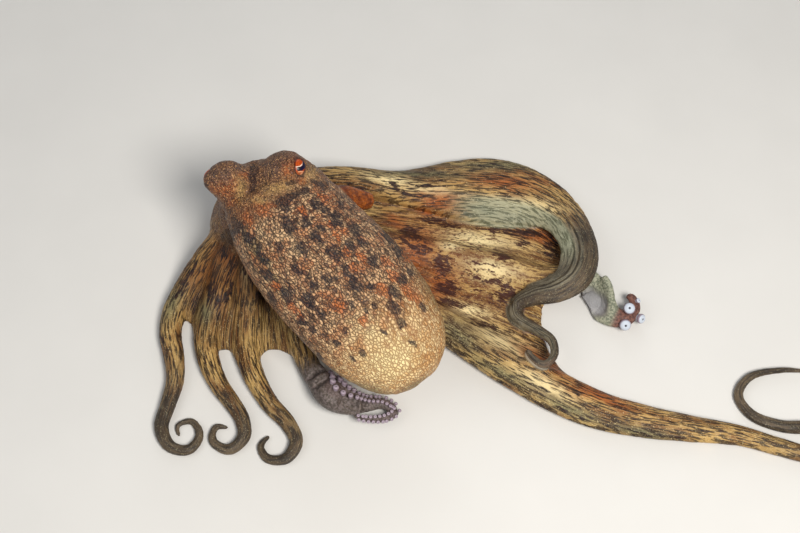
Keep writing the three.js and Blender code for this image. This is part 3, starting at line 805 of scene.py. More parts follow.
on_body = ramp(waves(points, BORDER_WAVES, limb_gap - body_gap), -BODY_BORDER, BODY_BORDER)
joined = np.array([arm.joined for arm in arms.values()])[arm_number]
radius_here = np.zeros(len(points))
skirt_here = np.zeros(len(points))
for arm in arms.values():
    mine = arm_number == arm.number
    radius_here[mine] = np.interp(arm_along[mine], arm.s, arm.radius)
    right, left = (np.interp(arm_along[mine], arm.s, skirt) for skirt in arm.skirt)
    skirt_here[mine] = np.where(arm_across[mine] > 0, right, left)
side = arm_across / np.maximum(radius_here + skirt_here, 1)
off_web = np.maximum(ramp(points[:, 2] - web_high, *WEB_CLEAR), ramp(sampled(edge_gap, points), *RIM_CLEAR))
past_web = ramp(arm_along, joined - ARM_JOINED_HALF, joined + ARM_JOINED_HALF)
on_arm = fall(arm_gap, *ARM_SKIN) * np.maximum(past_web, off_web)
sole = ramp(SOLE_UP * radius_here - arm_up, 0, SOLE_EDGE) * on_arm
is_arm = {name: (arm_number == arm.number) * on_arm for name, arm in arms.items()}
free = np.zeros(len(points))
for name in ARMS:
    free = np.maximum(free, is_arm[name] * ramp(arm_along, *FREE_FROM.get(name, FREE_ELSE)))
inner = is_arm["R1"] * ramp(side, *INNER_SIDE)
flap = is_arm["R1"] * ramp(side, *FLAP_SIDE) * ramp(arm_along, *FLAP_FROM) * fall(arm_along, *FLAP_TO)
stub = is_arm["R2"] * ramp(arm_along, *STUB_FROM)
bowl = is_arm["R2"] * (1 - stub) * spots([BOWL], BOWL_EDGE)
lip = is_arm["R2"] * (1 - bowl) * (1 - stub) * ramp(arm_along, *LIP_FROM)
on_head = fall(along, *HEAD_ENDS) * on_body
lid = np.zeros(len(points))
for eye in EYES.values():
    p, q = eye_plane(points, eye)
    lid = np.maximum(lid, fall(q, *LID_RING) * (p[:, 2] > 0) * fall(np.linalg.norm(p, axis=1), *LID_SHELL))
on_siphon = fall(siphon_distance(points), *SIPHON_SKIN) * ramp(
    mantle_distance(points.astype(np.float32)), *SIPHON_FREE
)

# ---------------------------------------------------------------- relief
WEB_FOLD_LENGTH = 9  # folds are this many times longer along a limb than across it
ARM_FOLD_LENGTH = 6
EYE_SMOOTH = (8.5, 13)  # distance from an eye's centre
FLOOR_SMOOTH = (0.3, 2.0)
SMOOTH_SHARE = 0.8  # of the relief is gone on soles
FREE_SHARE = 0.7
BOX_GAP = 0.02

web_place = np.stack([flow[:, 0], flow[:, 1] * STREAKS_ACROSS, 0 * flow[:, 0]], 1)
arm_place = np.stack([arm_along, arm_across, arm_number * ARM_APART], 1)
mantle_where = np.stack([along, across, above], 1)
streak = web_place / [WEB_FOLD_LENGTH, 1, 1]
folds = waves(streak, FOLD_WAVES)
arm_folds = waves(points, ARM_SKIN_WAVES, waves(arm_place / [ARM_FOLD_LENGTH, 1, 1], ARM_FOLD_WAVES))
bumps = waves(points, BODY_WAVES)
relief = mix(mix(folds, arm_folds, on_arm), bumps, on_body) * (1 - on_siphon)
for eye in EYES.values():
    relief *= ramp(np.linalg.norm(points - eye["at"], axis=1), *EYE_SMOOTH)
smoother = np.maximum(np.maximum(sole, lip), FREE_SHARE * free)
relief *= ramp(points[:, 2], *FLOOR_SMOOTH) * (1 - SMOOTH_SHARE * smoother)
points = points + normals * (relief - BOWL_DEPTH * bowl)[:, None]
box_low, box_high = (np.array(corner) / MM for corner in cad_box)
points = grounded(np.clip(points, box_low + BOX_GAP, box_high - BOX_GAP))

# ---------------------------------------------------------------- suckers
SUCKER_SIDES = 16
SUCKER_PROFILE = [  # radius and height in shares of the sucker's radius, from the foot in over the dome
    (0.7, -0.6), (0.86, 0.0), (0.98, 0.25), (1.0, 0.45), (0.93, 0.66), (0.76, 0.84), (0.52, 0.95),
    (0.28, 0.98), (0.17, 0.92), (0.13, 0.6),
]
SUCKER_ROWS = [  # arm, from, to, radius as a share of the arm's, least radius, a row's offset in radii
    ("L4", 106, 200, 0.15, 1.25, 2.0),
    ("R1", 226, 378, 0.27, 1.2, 1.0),
]
BIG_SUCKERS = [  # on R2's end: distance along, place across, radius
    (257.5, -3.6, 4.0), (267.5, 5.4, 4.0), (265.5, -5.2, 3.4), (275.0, 0.5, 1.9),
]
SUCKER_END = 2  # the last millimetres of an arm have none
SUCKER_STEP = 1.15  # from one to the next, in radii
SUCKER_MOST = 0.5  # of the arm's radius, for a sucker's own and for its row's offset
SUCKER_SINK = 0.45  # depth for each millimetre that it stands off the flat sole
SUCKER_LEAN = 0.55
SUCKER_CLEAR = 0.4  # lower ones would be in the floor
sucker_points = []
sucker_quads = []
sucker_at = []


def fan(ring, tip, n):
    """Quads that close a ring of n points with its tip."""
    return [(ring + m, ring + m + 1, ring + (m + 2) % n, tip) for m in range(0, n, 2)]


def bands(base, rows, n):
    """Quads between rings of n points."""
    starts = [(base + k * n, m, (m + 1) % n) for k in range(rows) for m in range(n)]
    return [(ring + m, ring + after, ring + n + after, ring + n + m) for ring, m, after in starts]


def add_sucker(arm, s, a, radius):
    i = int(round(s))
    up, across = arm.up[i], arm.side[i]
    sink = SUCKER_SINK * max(0, abs(a) - SOLE_HALF * arm.radius[i])
    foot = arm.centre[i] + across * a - up * (arm.axis[i] - sink)
    if foot[2] - up[2] * radius < SUCKER_CLEAR:
        return
    tilt = unit(-up + across * a / arm.radius[i] * SUCKER_LEAN)
    x = unit(np.cross(tilt, arm.tangent[i]))
    y = np.cross(tilt, x)
    base = sum(len(p) for p in sucker_points) + len(points)
    n, rings = SUCKER_SIDES, len(SUCKER_PROFILE)
    turn = 2 * np.pi * np.arange(n) / n
    spokes = np.cos(turn)[:, None] * x + np.sin(turn)[:, None] * y
    circles = [foot + radius * (radial * spokes + height * tilt) for radial, height in SUCKER_PROFILE]
    centre = foot + radius * SUCKER_PROFILE[-1][1] * tilt
    sucker_points.append(np.vstack(circles + [centre[None]]))
    sucker_quads.extend(bands(base, rings - 1, n) + fan(base + (rings - 1) * n, base + rings * n, n))
    sucker_at.append(np.concatenate([np.repeat([p[0] for p in SUCKER_PROFILE], n), [0.0]]))


for name, start, stop, share, least, offset in SUCKER_ROWS:
    arm = arms[name]
    s, row = start, 1
    while s < min(stop, arm.length - SUCKER_END):
        arm_radius = arm.radius[int(round(s))]
        radius = max(share * arm_radius, min(least, SUCKER_MOST * arm_radius))
        add_sucker(arm, s, row * min(offset * radius, SUCKER_MOST * arm_radius), radius)
        s += radius * SUCKER_STEP
        row = -row
for s, a, radius in BIG_SUCKERS:
    add_sucker(arms["R2"], s, a, radius)
extra = np.clip(np.vstack(sucker_points), box_low + BOX_GAP, box_high - BOX_GAP)
# all but R2's big ones
sucker_lilac = np.arange(len(extra)) < len(extra) - len(BIG_SUCKERS) * len(sucker_points[0])
print("suckers", len(sucker_points))

# ---------------------------------------------------------------- markings
HEAD_DARK = [  # ellipses in the picture: centre, half sizes, tilt in degrees
    (253, 178, 5, 17, 0), (291, 196, 19, 4.5, -24), (305, 190, 6, 5, 0), (285, 207, 8, 5, 50),
    (237, 226, 10, 8, 60), (228, 238, 8, 12, 10), (292, 182, 9, 2.5, -10), (318, 183, 8, 3, 20),
    (207, 190, 3, 10, -20),
]
HEAD_ORANGE = [
    (222, 190, 12, 7, 8), (289, 169, 8, 9, 10), (302, 180, 6, 4, 0), (244, 174, 5, 4, 0),
    (270, 206, 8, 5, 0), (233, 202, 8, 4, 0), (296, 158, 6, 4, 30), (323, 198, 8, 4, 30),
    (232, 186, 6, 8, 0),
]
HEAD_PALE = [(279, 188, 15, 7, -12), (311, 175, 7, 9, 20), (240, 190, 5, 12, 0), (262, 200, 12, 4, 0)]
HEAD_GREY = [
    (214, 172, 9, 12, 10), (226, 174, 9, 9, 0), (272, 168, 10, 14, 10), (282, 157, 18, 6, -14),
    (240, 167, 9, 6, 0),
]
MANTLE_DARK = [  # round spots: centre and size
    (289, 226, 8), (306, 223, 6), (313, 204, 6), (325, 209, 5), (335, 219, 7), (334, 251, 8), (317, 237, 6),
    (303, 251, 6), (321, 229, 5), (355, 230, 7), (350, 245, 5), (362, 243, 5), (387, 237, 6), (398, 251, 5),
    (373, 262, 6), (355, 283, 8), (345, 270, 5), (328, 279, 5), (267, 276, 6), (273, 298, 6), (287, 295, 7),
    (309, 301, 8), (264, 262, 5), (259, 251, 5), (248, 237, 6), (317, 287, 5), (323, 316, 4), (302, 323, 5),
    (312, 331, 4), (350, 304, 4), (367, 312, 3), (375, 306, 3), (395, 293, 6), (403, 281, 5), (409, 273, 4),
    (395, 309, 8), (400, 323, 5), (384, 332, 4), (413, 343, 3), (337, 343, 4), (362, 352, 4), (353, 359, 3),
    (320, 357, 4), (423, 307, 4), (279, 245, 5), (297, 270, 5), (342, 205, 4), (345, 330, 3), (372, 285, 4),
]
MANTLE_ORANGE = [  # round spots
    (248, 219, 6), (262, 209, 7), (323, 198, 5), (302, 211, 4), (345, 232, 5), (346, 252, 4), (338, 236, 4),
    (362, 257, 5), (387, 261, 5), (352, 268, 4), (382, 290, 7), (395, 276, 5), (407, 290, 6), (414, 298, 5),
    (294, 308, 5), (300, 318, 4), (364, 322, 4), (406, 257, 4), (339, 307, 6), (330, 225, 4), (275, 285, 4),
]
# pale marks on the mantle; the two large ones at its tip are a painted highlight
MANTLE_PALE_AND_HIGHLIGHT = [
    (388, 360, 32, 22, -30), (372, 335, 26, 16, 40), (262, 230, 7, 9, -30), (290, 244, 5, 18, -38),
]
MANTLE_SHADE = [
    (262, 262, 7, 40, -30), (325, 372, 46, 7, 38), (428, 275, 7, 44, -20), (372, 390, 30, 5, 16),
    (413, 386, 20, 5, -25),
]
# dark marks on the webs, and painted shadow: the thin line under R1's flap and the deep shadow beside R1's
# hook
WEB_DARK_AND_SHADOW = [
    (440, 222, 22, 4, 14), (412, 236, 15, 9, 18), (420, 248, 14, 5, 18), (441, 266, 12, 10, 30),
    (448, 289, 15, 8, 20), (472, 247, 13, 4, 10), (503, 256, 12, 5, 20), (520, 233, 40, 5, 6),
    (482, 264, 22, 2, 8), (488, 279, 20, 3, 12), (450, 303, 18, 4, 15), (484, 325, 20, 5, 20),
    (503, 292, 12, 13, 30), (552, 246, 8, 10, 20), (520, 243, 10, 3, 0), (405, 191, 24, 3, 18),
    (430, 186, 26, 2, 6), (395, 184, 18, 2, 12), (352, 187, 20, 2.5, 3), (470, 216, 10, 3, 20),
    (226, 246, 7, 15, 10), (236, 228, 9, 8, 20), (247, 272, 4, 20, -25), (212, 290, 6, 14, 5),
    (229, 290, 5, 14, 0), (186, 282, 4, 24, 25), (218, 305, 4, 16, 5), (196, 300, 5, 14, 15),
    (262, 295, 6, 8, -30),
]
WEB_MIDDLE = (468, 268, 84, 50, 22)
WEB_MARKS = {
    "warm": [
        (415, 250, 22, 34, 18), (440, 285, 20, 22, 20), (396, 222, 14, 8, 30), (228, 255, 20, 24, 0),
        (212, 275, 14, 16, 0), (545, 236, 24, 8, 8), (440, 200, 26, 10, 8), (425, 212, 18, 4, 12),
        (545, 362, 40, 6, 30), (600, 396, 40, 7, 18), (503, 182, 40, 8, 4),
    ],
    "cream": [
        (480, 240, 34, 7, 8), (492, 270, 26, 10, 10), (450, 246, 12, 5, 10), (470, 310, 20, 6, 15),
        (505, 342, 30, 8, 28), (545, 385, 30, 7, 28), (392, 180, 26, 5, 10), (430, 190, 30, 4, 6),
        (520, 205, 34, 7, 6), (245, 275, 4, 10, -10),
    ],
    "dotted": [
        (418, 240, 26, 20, 20), (442, 268, 16, 16, 20), (452, 292, 18, 10, 10), (455, 236, 20, 8, 8),
    ],
    "green": [
        (458, 335, 34, 14, 38), (500, 372, 46, 7, 28), (570, 410, 46, 7, 24), (640, 432, 40, 7, 12),
        (172, 305, 8, 22, 24), (205, 312, 8, 14, 10), (420, 174, 60, 4, 2), (475, 208, 20, 5, 12),
        (505, 165, 60, 5, 0),
    ],
    "gold": [(215, 285, 42, 46, 10), (252, 285, 12, 22, -10)],
}
BLOTCH_TILT = 52  # degrees, the mantle's long way in the picture
BLOTCH_HALF = (1.55, 0.95)
SOFT = 1.0  # how sharp a spot's edge is
REAR_SPAN = (0.35, 1.0)  # share of the mantle's length
FACING = (-0.25, 0.05)  # of the skin's normal along the line of sight
PICTURE_LEFT = (150, 170)  # further left the markings are guessed
GUESSED_DARK = (0.25, 0.7)
GUESSED_ORANGE = (0.45, 0.8)
GUESSED_WEB = (0.2, 0.6)
MIDDLE_EDGE = 1.5
LILAC_FROM = (88, 104)  # along L4


def round_spots(places):
    rx, ry = BLOTCH_HALF
    return spots([(x, y, rx * size, ry * size, BLOTCH_TILT) for x, y, size in places], SOFT)


facing = fall(normals @ SIGHT, *FACING)
guess_dark = ramp(waves(mantle_where, DARK_WAVES), *GUESSED_DARK)
guess_orange = ramp(waves(mantle_where, ORANGE_WAVES), *GUESSED_ORANGE)
guess_web = ramp(waves(streak, WEB_DARK_WAVES), *GUESSED_WEB)
in_picture = ramp(seen[:, 0], *PICTURE_LEFT) * facing
on_limbs = 1 - on_body
dark = mix(guess_dark, np.maximum(spots(HEAD_DARK), round_spots(MANTLE_DARK)), facing)
orange = mix(guess_orange, np.maximum(spots(HEAD_ORANGE, SOFT), round_spots(MANTLE_ORANGE)), facing)
masks = {
    "body": on_body, "head": on_head, "siphon": on_siphon, "arm": on_arm, "free": free, "inner": inner,
    "flap": flap, "lip": lip, "side": side, "first": is_arm["R1"], "stub": stub, "bowl": bowl, "sole": sole,
    "lid": lid, "shade": spots(MANTLE_SHADE, SOFT) * on_body, "grey": spots(HEAD_GREY, SOFT) * on_body,
    "lilac": is_arm["L4"] * ramp(arm_along, *LILAC_FROM),
    "sucker": np.zeros(len(points)),
    "cup": np.zeros(len(points)),
    "rear": ramp(along / MANTLE_LENGTH, *REAR_SPAN),
    "dark": dark * on_body,
    "orange": orange * on_body,
    # pale marks on head and mantle, and at the mantle's tip a painted highlight
    "pale": np.maximum(spots(HEAD_PALE, SOFT), spots(MANTLE_PALE_AND_HIGHLIGHT, SOFT)) * facing * on_body,
    # dark web marks, with painted shadow under R1's flap and beside its hook
    "web_dark_and_shadow": mix(guess_web, spots(WEB_DARK_AND_SHADOW), in_picture) * on_limbs,
    "middle": spots([WEB_MIDDLE], MIDDLE_EDGE) * on_limbs * (1 - flap),
    "web_flow": web_place,
    "arm_flow": arm_place,
    "mantle_flow": mantle_where,
}
for name, places in WEB_MARKS.items():
    masks[name] = spots(places, SOFT) * on_limbs
on_suckers = dict.fromkeys(("arm", "free", "sole", "sucker"), 1)  # a mask is 0 there if it isn't named here
on_suckers.update(lilac=sucker_lilac, cup=np.concatenate(sucker_at))


def mesh_object(name, points, quads):
    mesh = bpy.data.meshes.new(name)
    quads = np.asarray(quads, dtype=np.int32)
    mesh.vertices.add(len(points))
    mesh.vertices.foreach_set("co", (np.asarray(points) * MM).astype(np.float32).ravel())
    mesh.loops.add(quads.size)
    mesh.loops.foreach_set("vertex_index", quads.ravel())
    mesh.polygons.add(len(quads))
    mesh.polygons.foreach_set("loop_start", np.arange(0, quads.size, quads.shape[1], dtype=np.int32))
    mesh.update(calc_edges=True)
    mesh.validate()
    mesh.shade_smooth()
    obj = bpy.data.objects.new(name, mesh)
    bpy.context.scene.collection.objects.link(obj)
    return obj


def keep_values(mesh, name, values):
    kind, key = ("FLOAT", "value") if values.ndim == 1 else ("FLOAT_VECTOR", "vector")
    layer = mesh.attributes.new(name, kind, "POINT")
    layer.data.foreach_set(key, np.ascontiguousarray(values, dtype=np.float32).ravel())


skin = mesh_object("skin", np.vstack([points, extra]), np.vstack([quads, sucker_quads]))
for name, values in masks.items():
    on_extra = np.full((len(extra),) + values.shape[1:], on_suckers.get(name, 0), float)
    keep_values(skin.data, name, np.concatenate([values, on_extra]))


# ---------------------------------------------------------------- materials
def colour(r, g, b):
    """Three bytes of the screen's colours (sRGB) as linear light."""
    channels = [c / 255 for c in (r, g, b)]
    return (*[c / 12.92 if c <= 0.04045 else ((c + 0.055) / 1.055) ** 2.4 for c in channels], 1.0)


class Nodes:
    """Builds one material's nodes. A name stands for a value made before, or else for that mask."""

    def __init__(self, name):
        self.material = bpy.data.materials.new(name)
        self.material.use_nodes = True
        self.tree = self.material.node_tree
        self.shader = self.tree.nodes["Principled BSDF"]
        self.made = {}

    def put(self, socket, value):
        """Gives a socket a named value, another node's output, a colour in three bytes, or a plain value."""
        if isinstance(value, str):
            if value not in self.made:
                self.made[value] = self.attribute(value)
            value = self.made[value]
        if isinstance(value, bpy.types.NodeSocket):
            self.tree.links.new(value, socket)
        else:
            socket.default_value = colour(*value) if socket.type == "RGBA" else value

    def add(self, kind, inputs, output=0, **values):
        """A new node with its inputs set, as one of its outputs."""
        node = self.tree.nodes.new("ShaderNode" + kind)
        for key, value in values.items():
            setattr(node, key, value)
        for key, value in inputs.items():
            self.put(node.inputs[key], value)
        return node.outputs[output]

    def attribute(self, name, output="Fac"):
        return self.add("Attribute", {}, output, attribute_name=name)

    def math(self, operation, a, b=0.0, clamp=False):
        return self.add("Math", {0: a, 1: b}, operation=operation, use_clamp=clamp)

    def times(self, a, b):
        return self.math("MULTIPLY", a, b)

    def plus(self, a, b):
        return self.math("ADD", a, b)

    def minus(self, a, b):
        return self.math("SUBTRACT", a, b)

    def scaled(self, vector, by, offset=(0, 0, 0)):
        return self.add("VectorMath", {0: vector, 1: by, 2: offset}, operation="MULTIPLY_ADD")

    def noise(self, vector, scale, detail=3.0, rough=0.55, distort=0.0, output="Fac"):
        inputs = {"Vector": vector, "Scale": scale, "Detail": detail, "Roughness": rough}
        return self.add("TexNoise", {**inputs, "Distortion": distort}, output)

    def cells(self, vector, scale, feature="DISTANCE_TO_EDGE", output="Distance"):
        return self.add("TexVoronoi", {"Vector": vector, "Scale": scale}, output, feature=feature)

    def step(self, value, low, high, to=(0.0, 1.0)):
        inputs = dict(enumerate((value, low, high, *to)))
        return self.add("MapRange", inputs, interpolation_type="SMOOTHSTEP")

    def fade(self, value, low, high, most=1.0):
        """A step down from most to nothing."""
        return self.step(value, low, high, (most, 0.0))

    def blend(self, factor, a, b):
        return self.add("Mix", {0: factor, 6: a, 7: b}, 2, data_type="RGBA")

    def between(self, factor, a, b):
        return self.add("Mix", {0: factor, 2: a, 3: b}, data_type="FLOAT")

    def two_tone(self, value, low, high, a, b):
        """One colour where a value is low and another where it is high."""
        return self.blend(self.step(value, low, high), a, b)

    def layered(self, base, rows):
        """Colours laid over a base: mask, strength, colour and, for a value, the span where it sets in."""
        for mask, strength, tone, *span in rows:
            factor = self.step(mask, *span, (0.0, strength)) if span else self.times(mask, strength)
            base = self.blend(factor, base, tone)
        return base

    def finish(self, base, rough, height, strength, distance, gloss=0.5):
        heights = {"Strength": strength, "Distance": distance * MM, "Height": height}
        normal = self.add("Bump", heights, "Normal")
        looks = {"Base Color": base, "Roughness": rough, "Normal": normal, "Specular IOR Level": gloss}
        for key, value in looks.items():
            self.put(self.shader.inputs[key], value)
        return self.material


# noises in the mantle's place: scale, detail, roughness
SKIN_NOISES = {
    "cloud": (0.045, 3), "fleck": (0.8, 4, 0.65), "patches": (0.11, 3, 0.6), "speck": (0.62, 2, 0.6),
    "grain": (1.1, 2, 0.6), "head_patches": (0.12, 3, 0.6), "siphon_cloud": (0.2, 2), "wet": (0.5, 3),
}
# marks along webs and arms: width over length, then scale, detail, roughness, distortion
STREAKS = {
    "fine": (0.11, 0.85, 2, 0.6, 0.1),
    "mottled": (0.26, 0.44, 4, 0.68, 0.15),
    "broad": (0.3, 0.1, 3, 0.6, 0.1),
    "dots": (0.75, 0.42),
    "short": (0.5, 0.5, 4, 0.68, 0.2),
    "clump": (0.6, 0.13, 2, 0.6, 0.1),
}
STREAK_SHIFTS = {"web_flow": (5, 40, 9), "arm_flow": (50, 4, 19)}
CELL_SCALE = 0.58
CELL_STRETCH = (0.66, 1.0, 1.0)
CELL_WOBBLE = (2.4, 2.4, 2.4)
WRINKLES = ((0.3, 1.0, 1.0), (0.5, 3, 0.6))  # stretch, then as the noises
R1_GROOVES = (0.1, 0.34)  # places across it in half widths
GROOVE_HALF = 0.03
GROOVE_EDGE = 2.2
HEAD_LAYERS = [  # mask, strength, colour, and the span over which it sets in
    ("orange", 0.65, (178, 98, 48)),
    ("pale", 0.7, (190, 154, 92)),
    ("grey", 0.75, (100, 78, 70)),
    ("speck", 0.72, (44, 28, 28), 0.48, 0.58),
    ("grain", 0.7, (220, 168, 112), 0.56, 0.64),
]
LIMB_LAYERS = [
    ("cream", 0.9, (250, 228, 172)),
    ("warm", 0.85, (168, 88, 36)),
    ("gold", 0.85, (120, 80, 38)),
    ("green", 0.75, (104, 108, 80)),
]
FREE_LAYERS = [
    ("fine", 0.6, (42, 36, 30), 0.5, 0.64),
    ("grain", 0.5, (164, 158, 128), 0.58, 0.7),
]
FLAP_TONES = ("fine", 0.44, 0.6, (158, 160, 134), (104, 106, 82))
FLAP_LAYERS = [("grain", 0.4, (216, 216, 192), 0.57, 0.7)]
ARM_TONES = {  # value, low, high, the colours below and above
    # the free ends' brown-grey is darker than their own colour: partly painted shade, for the shade on R1's
    # outer side
    "grey": ("broad", 0.35, 0.65, (84, 74, 64), (54, 48, 40)),
    "green": ("broad", 0.35, 0.65, (116, 112, 98), (86, 82, 70)),
    "lip": ("speck", 0.4, 0.6, (164, 164, 142), (118, 122, 104)),
    "stub": ("speck", 0.4, 0.6, (126, 86, 74), (86, 58, 52)),
    "lilac": ("speck", 0.4, 0.6, (118, 106, 104), (74, 66, 62)),
}


def mantle_tones(n, mantle):
    """Pale cells between thin dark lines. Each cell is pale, dark or orange as a whole."""
    wobble = n.noise(mantle, 0.25, 2.0, 0.5, output="Color")
    place = n.scaled(wobble, CELL_WOBBLE, n.scaled(mantle, CELL_STRETCH))
    n.made["cell_edge"] = n.cells(place, CELL_SCALE)
    cell = {0: n.cells(place, CELL_SCALE, "F1", "Color")}
    chance, other = (n.add("SeparateColor", cell, channel) for channel in (0, 1))
    wrinkle = n.noise(n.scaled(mantle, WRINKLES[0]), *WRINKLES[1])

    def by_rear(value, low, high, front, rear):
        """A value times a strength that changes from the mantle's front to its rear."""
        return n.times(value, n.step("rear", low, high, (front, rear)))

    pale = n.two_tone("rear", 0.15, 0.85, (228, 184, 138), (238, 204, 150))
    tan = n.two_tone("rear", 0.15, 0.85, (162, 116, 82), (204, 150, 90))
    base = n.two_tone(n.plus(n.times("cloud", 0.7), n.times(chance, 0.4)), 0.4, 0.72, pale, tan)
    flecked = by_rear(n.step("fleck", 0.45, 0.65), 0.2, 0.9, 0.5, 0.2)
    wrinkled = by_rear(n.step(wrinkle, 0.5, 0.62), 0.15, 0.75, 0.75, 0.0)
    blush = by_rear(n.step("patches", 0.5, 0.62, (0.0, 0.55)), 0.4, 0.95, 1.0, 0.2)
    rust = n.step(n.plus("orange", n.times(other, 0.45)), 0.55, 0.85)
    lines = by_rear(n.fade(n.made["cell_edge"], 0.03, 0.17), 0.2, 1.0, 0.85, 0.7)
    for factor, tone in (
        (flecked, (104, 70, 50)),
        (wrinkled, (46, 34, 32)),
        (n.times("shade", 0.75), (92, 90, 58)),
        # pale marks, brightest towards the rear, where at the mantle's tip they are a painted highlight
        (n.times("pale", 0.75), n.blend("rear", (220, 186, 142), (255, 236, 176))),
        (blush, (182, 112, 68)),
        (n.times(rust, n.step("fleck", 0.3, 0.6, (0.9, 0.5))), (196, 104, 48)),
        (lines, n.two_tone("rear", 0.2, 0.9, (34, 26, 26), (124, 76, 38))),
    ):
        base = n.blend(factor, base, tone)
    mottle = n.step(n.plus("dark", n.times(chance, 0.42)), 0.58, 0.86)
    stray = by_rear(n.step(chance, 0.94, 0.96), 0.2, 0.8, 0.6, 0.15)
    mottle = n.math("MAXIMUM", n.times(mottle, n.step("fleck", 0.35, 0.6, (0.97, 0.62))), stray)
    n.made["mottle"] = mottle
    return n.blend(mottle, base, n.blend("fleck", (10, 12, 20), (46, 42, 48)))


def head_tones(n):
    """A fine orange-brown speckle, greyer on the eye mounds."""
    head = n.two_tone("head_patches", 0.38, 0.62, (126, 82, 52), (86, 54, 38))
    head = n.layered(head, HEAD_LAYERS)
    mottled = n.times("mottle", n.step("speck", 0.35, 0.6, (0.95, 0.6)))
    return n.layered(n.blend(mottled, head, (16, 14, 22)), [("lid", 0.8, (46, 26, 28))])


def add_streaks(n):
    """Marks that run out from the head along webs and arms, each in its own coordinates, from 0 to 1."""
    for name, (stretch, scale, *rest) in STREAKS.items():
        pair = []
        for flow_name, shift in STREAK_SHIFTS.items():
            place = n.scaled(n.attribute(flow_name, "Vector"), (stretch, 1.0, 1.0), shift)
            pair.append(n.noise(place, scale, *rest) if rest else n.cells(place, scale, "F1"))
        n.made[name] = n.between("arm", *pair)


def limb_tones(n):
    """Webs and joined arms: streaks, and short grainy marks in the middle of the right webs."""
    in_middle = n.times("middle", 0.85)
    fine_here = n.between(in_middle, "fine", "short")
    grainy = n.plus(n.times("clump", 0.38), n.times("short", 0.62))
    limb = n.layered(n.two_tone("broad", 0.4, 0.62, (190, 154, 94), (124, 84, 44)), LIMB_LAYERS)
    line = n.minus(fine_here, n.times("cream", 0.05))
    limb = n.layered(limb, [(line, 0.85, n.blend("middle", (38, 26, 18), (112, 64, 38)), 0.46, 0.55)])
    # painted glints: pale flecks of grain stand for the glisten on the webs' wet ridges, fewer on the gold
    # and warm patches
    light = n.minus("grain", n.times(n.plus("gold", "warm"), 0.05))
    limb = n.layered(limb, [(light, 0.5, (250, 226, 168), 0.58, 0.72)])
    streaky = n.plus(n.times("mottled", 0.6), n.times(fine_here, 0.4))
    # the dark web marks and the painted shadow join the streaks here
    here = n.minus(n.times("web_dark_and_shadow", 0.13), n.times("cream", 0.05))
    marks = n.plus(n.between(in_middle, streaky, grainy), here)
    mark_tone = n.two_tone("speck", 0.4, 0.6, (14, 10, 12), (58, 32, 22))
    mark_tone = n.layered(mark_tone, [("middle", 0.7, (78, 34, 22))])
    limb = n.layered(limb, [(marks, 0.97, mark_tone, 0.54, 0.61)])
    dotted = n.math("MAXIMUM", "dotted", n.times("middle", n.step("mottled", 0.42, 0.52, (0.25, 0.95))))
    return n.layered(limb, [(n.times(n.fade("dots", 0.24, 0.36), dotted), 0.9, (56, 26, 18))])


def free_tones(n):
    """Free ends of the arms: smooth, brown-grey, greenish on R1's inner side, with its grooves and rim."""
    free = n.blend("inner", *(n.two_tone(*ARM_TONES[name]) for name in ("grey", "green")))
    free = n.layered(free, FREE_LAYERS)
    for groove in R1_GROOVES:
        gap = n.math("ABSOLUTE", n.minus("side", groove))
        cut = n.times(n.fade(gap, GROOVE_HALF, GROOVE_HALF * GROOVE_EDGE), "first")
        free = n.layered(free, [(cut, 0.85, (26, 24, 18))])
    rim = n.times(n.fade("side", -0.97, -0.9), "first")
    return n.layered(free, [(rim, 0.7, (180, 172, 154))])


def skin_material():
    n = Nodes("octopus_skin")
    mantle = n.attribute("mantle_flow", "Vector")
    for name, values in SKIN_NOISES.items():
        n.made[name] = n.noise(mantle, *values)
    base = mantle_tones(n, mantle)
    base = n.layered(base, [("head", 0.9, head_tones(n))])
    add_streaks(n)
    flap = n.layered(n.two_tone(*FLAP_TONES), FLAP_LAYERS)
    limb = n.layered(limb_tones(n), [
        ("free", 0.9, free_tones(n)),
        ("flap", 0.85, flap),
        ("sole", 0.7, (116, 84, 80)),
    ])
    limb = n.blend("lip", limb, n.two_tone(*ARM_TONES["lip"]))
    limb = n.blend("bowl", limb, n.blend("cloud", (186, 184, 184), (118, 118, 122)))
    limb = n.blend("stub", limb, n.two_tone(*ARM_TONES["stub"]))
    limb = n.layered(limb, [("lilac", 0.8, n.two_tone(*ARM_TONES["lilac"]))])
    out = n.blend("body", limb, base)
    out = n.blend("siphon", out, n.two_tone("siphon_cloud", 0.35, 0.65, (172, 92, 32), (104, 46, 16)))
    cup = n.blend("lilac", (196, 204, 216), (164, 150, 162))
    cup = n.blend(n.fade("cup", 0.14, 0.22), cup, (50, 42, 50))
    cup = n.blend(n.step("cup", 0.8, 0.98), cup, (140, 122, 134))
    out = n.blend("sucker", out, cup)

    body_height = n.plus(n.step("cell_edge", 0.0, 0.3), n.times("grain", 0.6))
    limb_height = n.plus(n.times("fine", 1.6), n.times("grain", 0.6))
    height = n.between("body", limb_height, body_height)
    return n.finish(out, n.step("wet", 0.3, 0.7, (0.36, 0.56)), height, 0.8, 0.8, gloss=0.3)


skin.data.materials.append(skin_material())


# ---------------------------------------------------------------- eyes
# The pupil is a bent bar with a pale line over and under it; places in millimetres from the opening's middle.
PUPIL = [(-1.2, -1.5), (0.8, -1.2), (2.4, 0.3), (3.4, 3.8)]
PUPIL_HALF = 1.3
PALE_LINE = [(-2.8, -0.35), (-0.5, 0.15), (1.3, 1.55), (2.0, 3.0)]
PALE_HALF = 0.27
UNDER_LINE = [(-1.0, -3.2), (2.2, -2.9)]
LOWER_GLOW = [(1.4, -4.5), (2.2, -4.5)]
RIM_UPRIGHT = 0.35  # weight of the long way, so that the dark rim follows the opening
EYE_ROWS = 40
EYE_SIDES = 64
EYE_POLE = 0.02  # radians left open round each pole for its fan


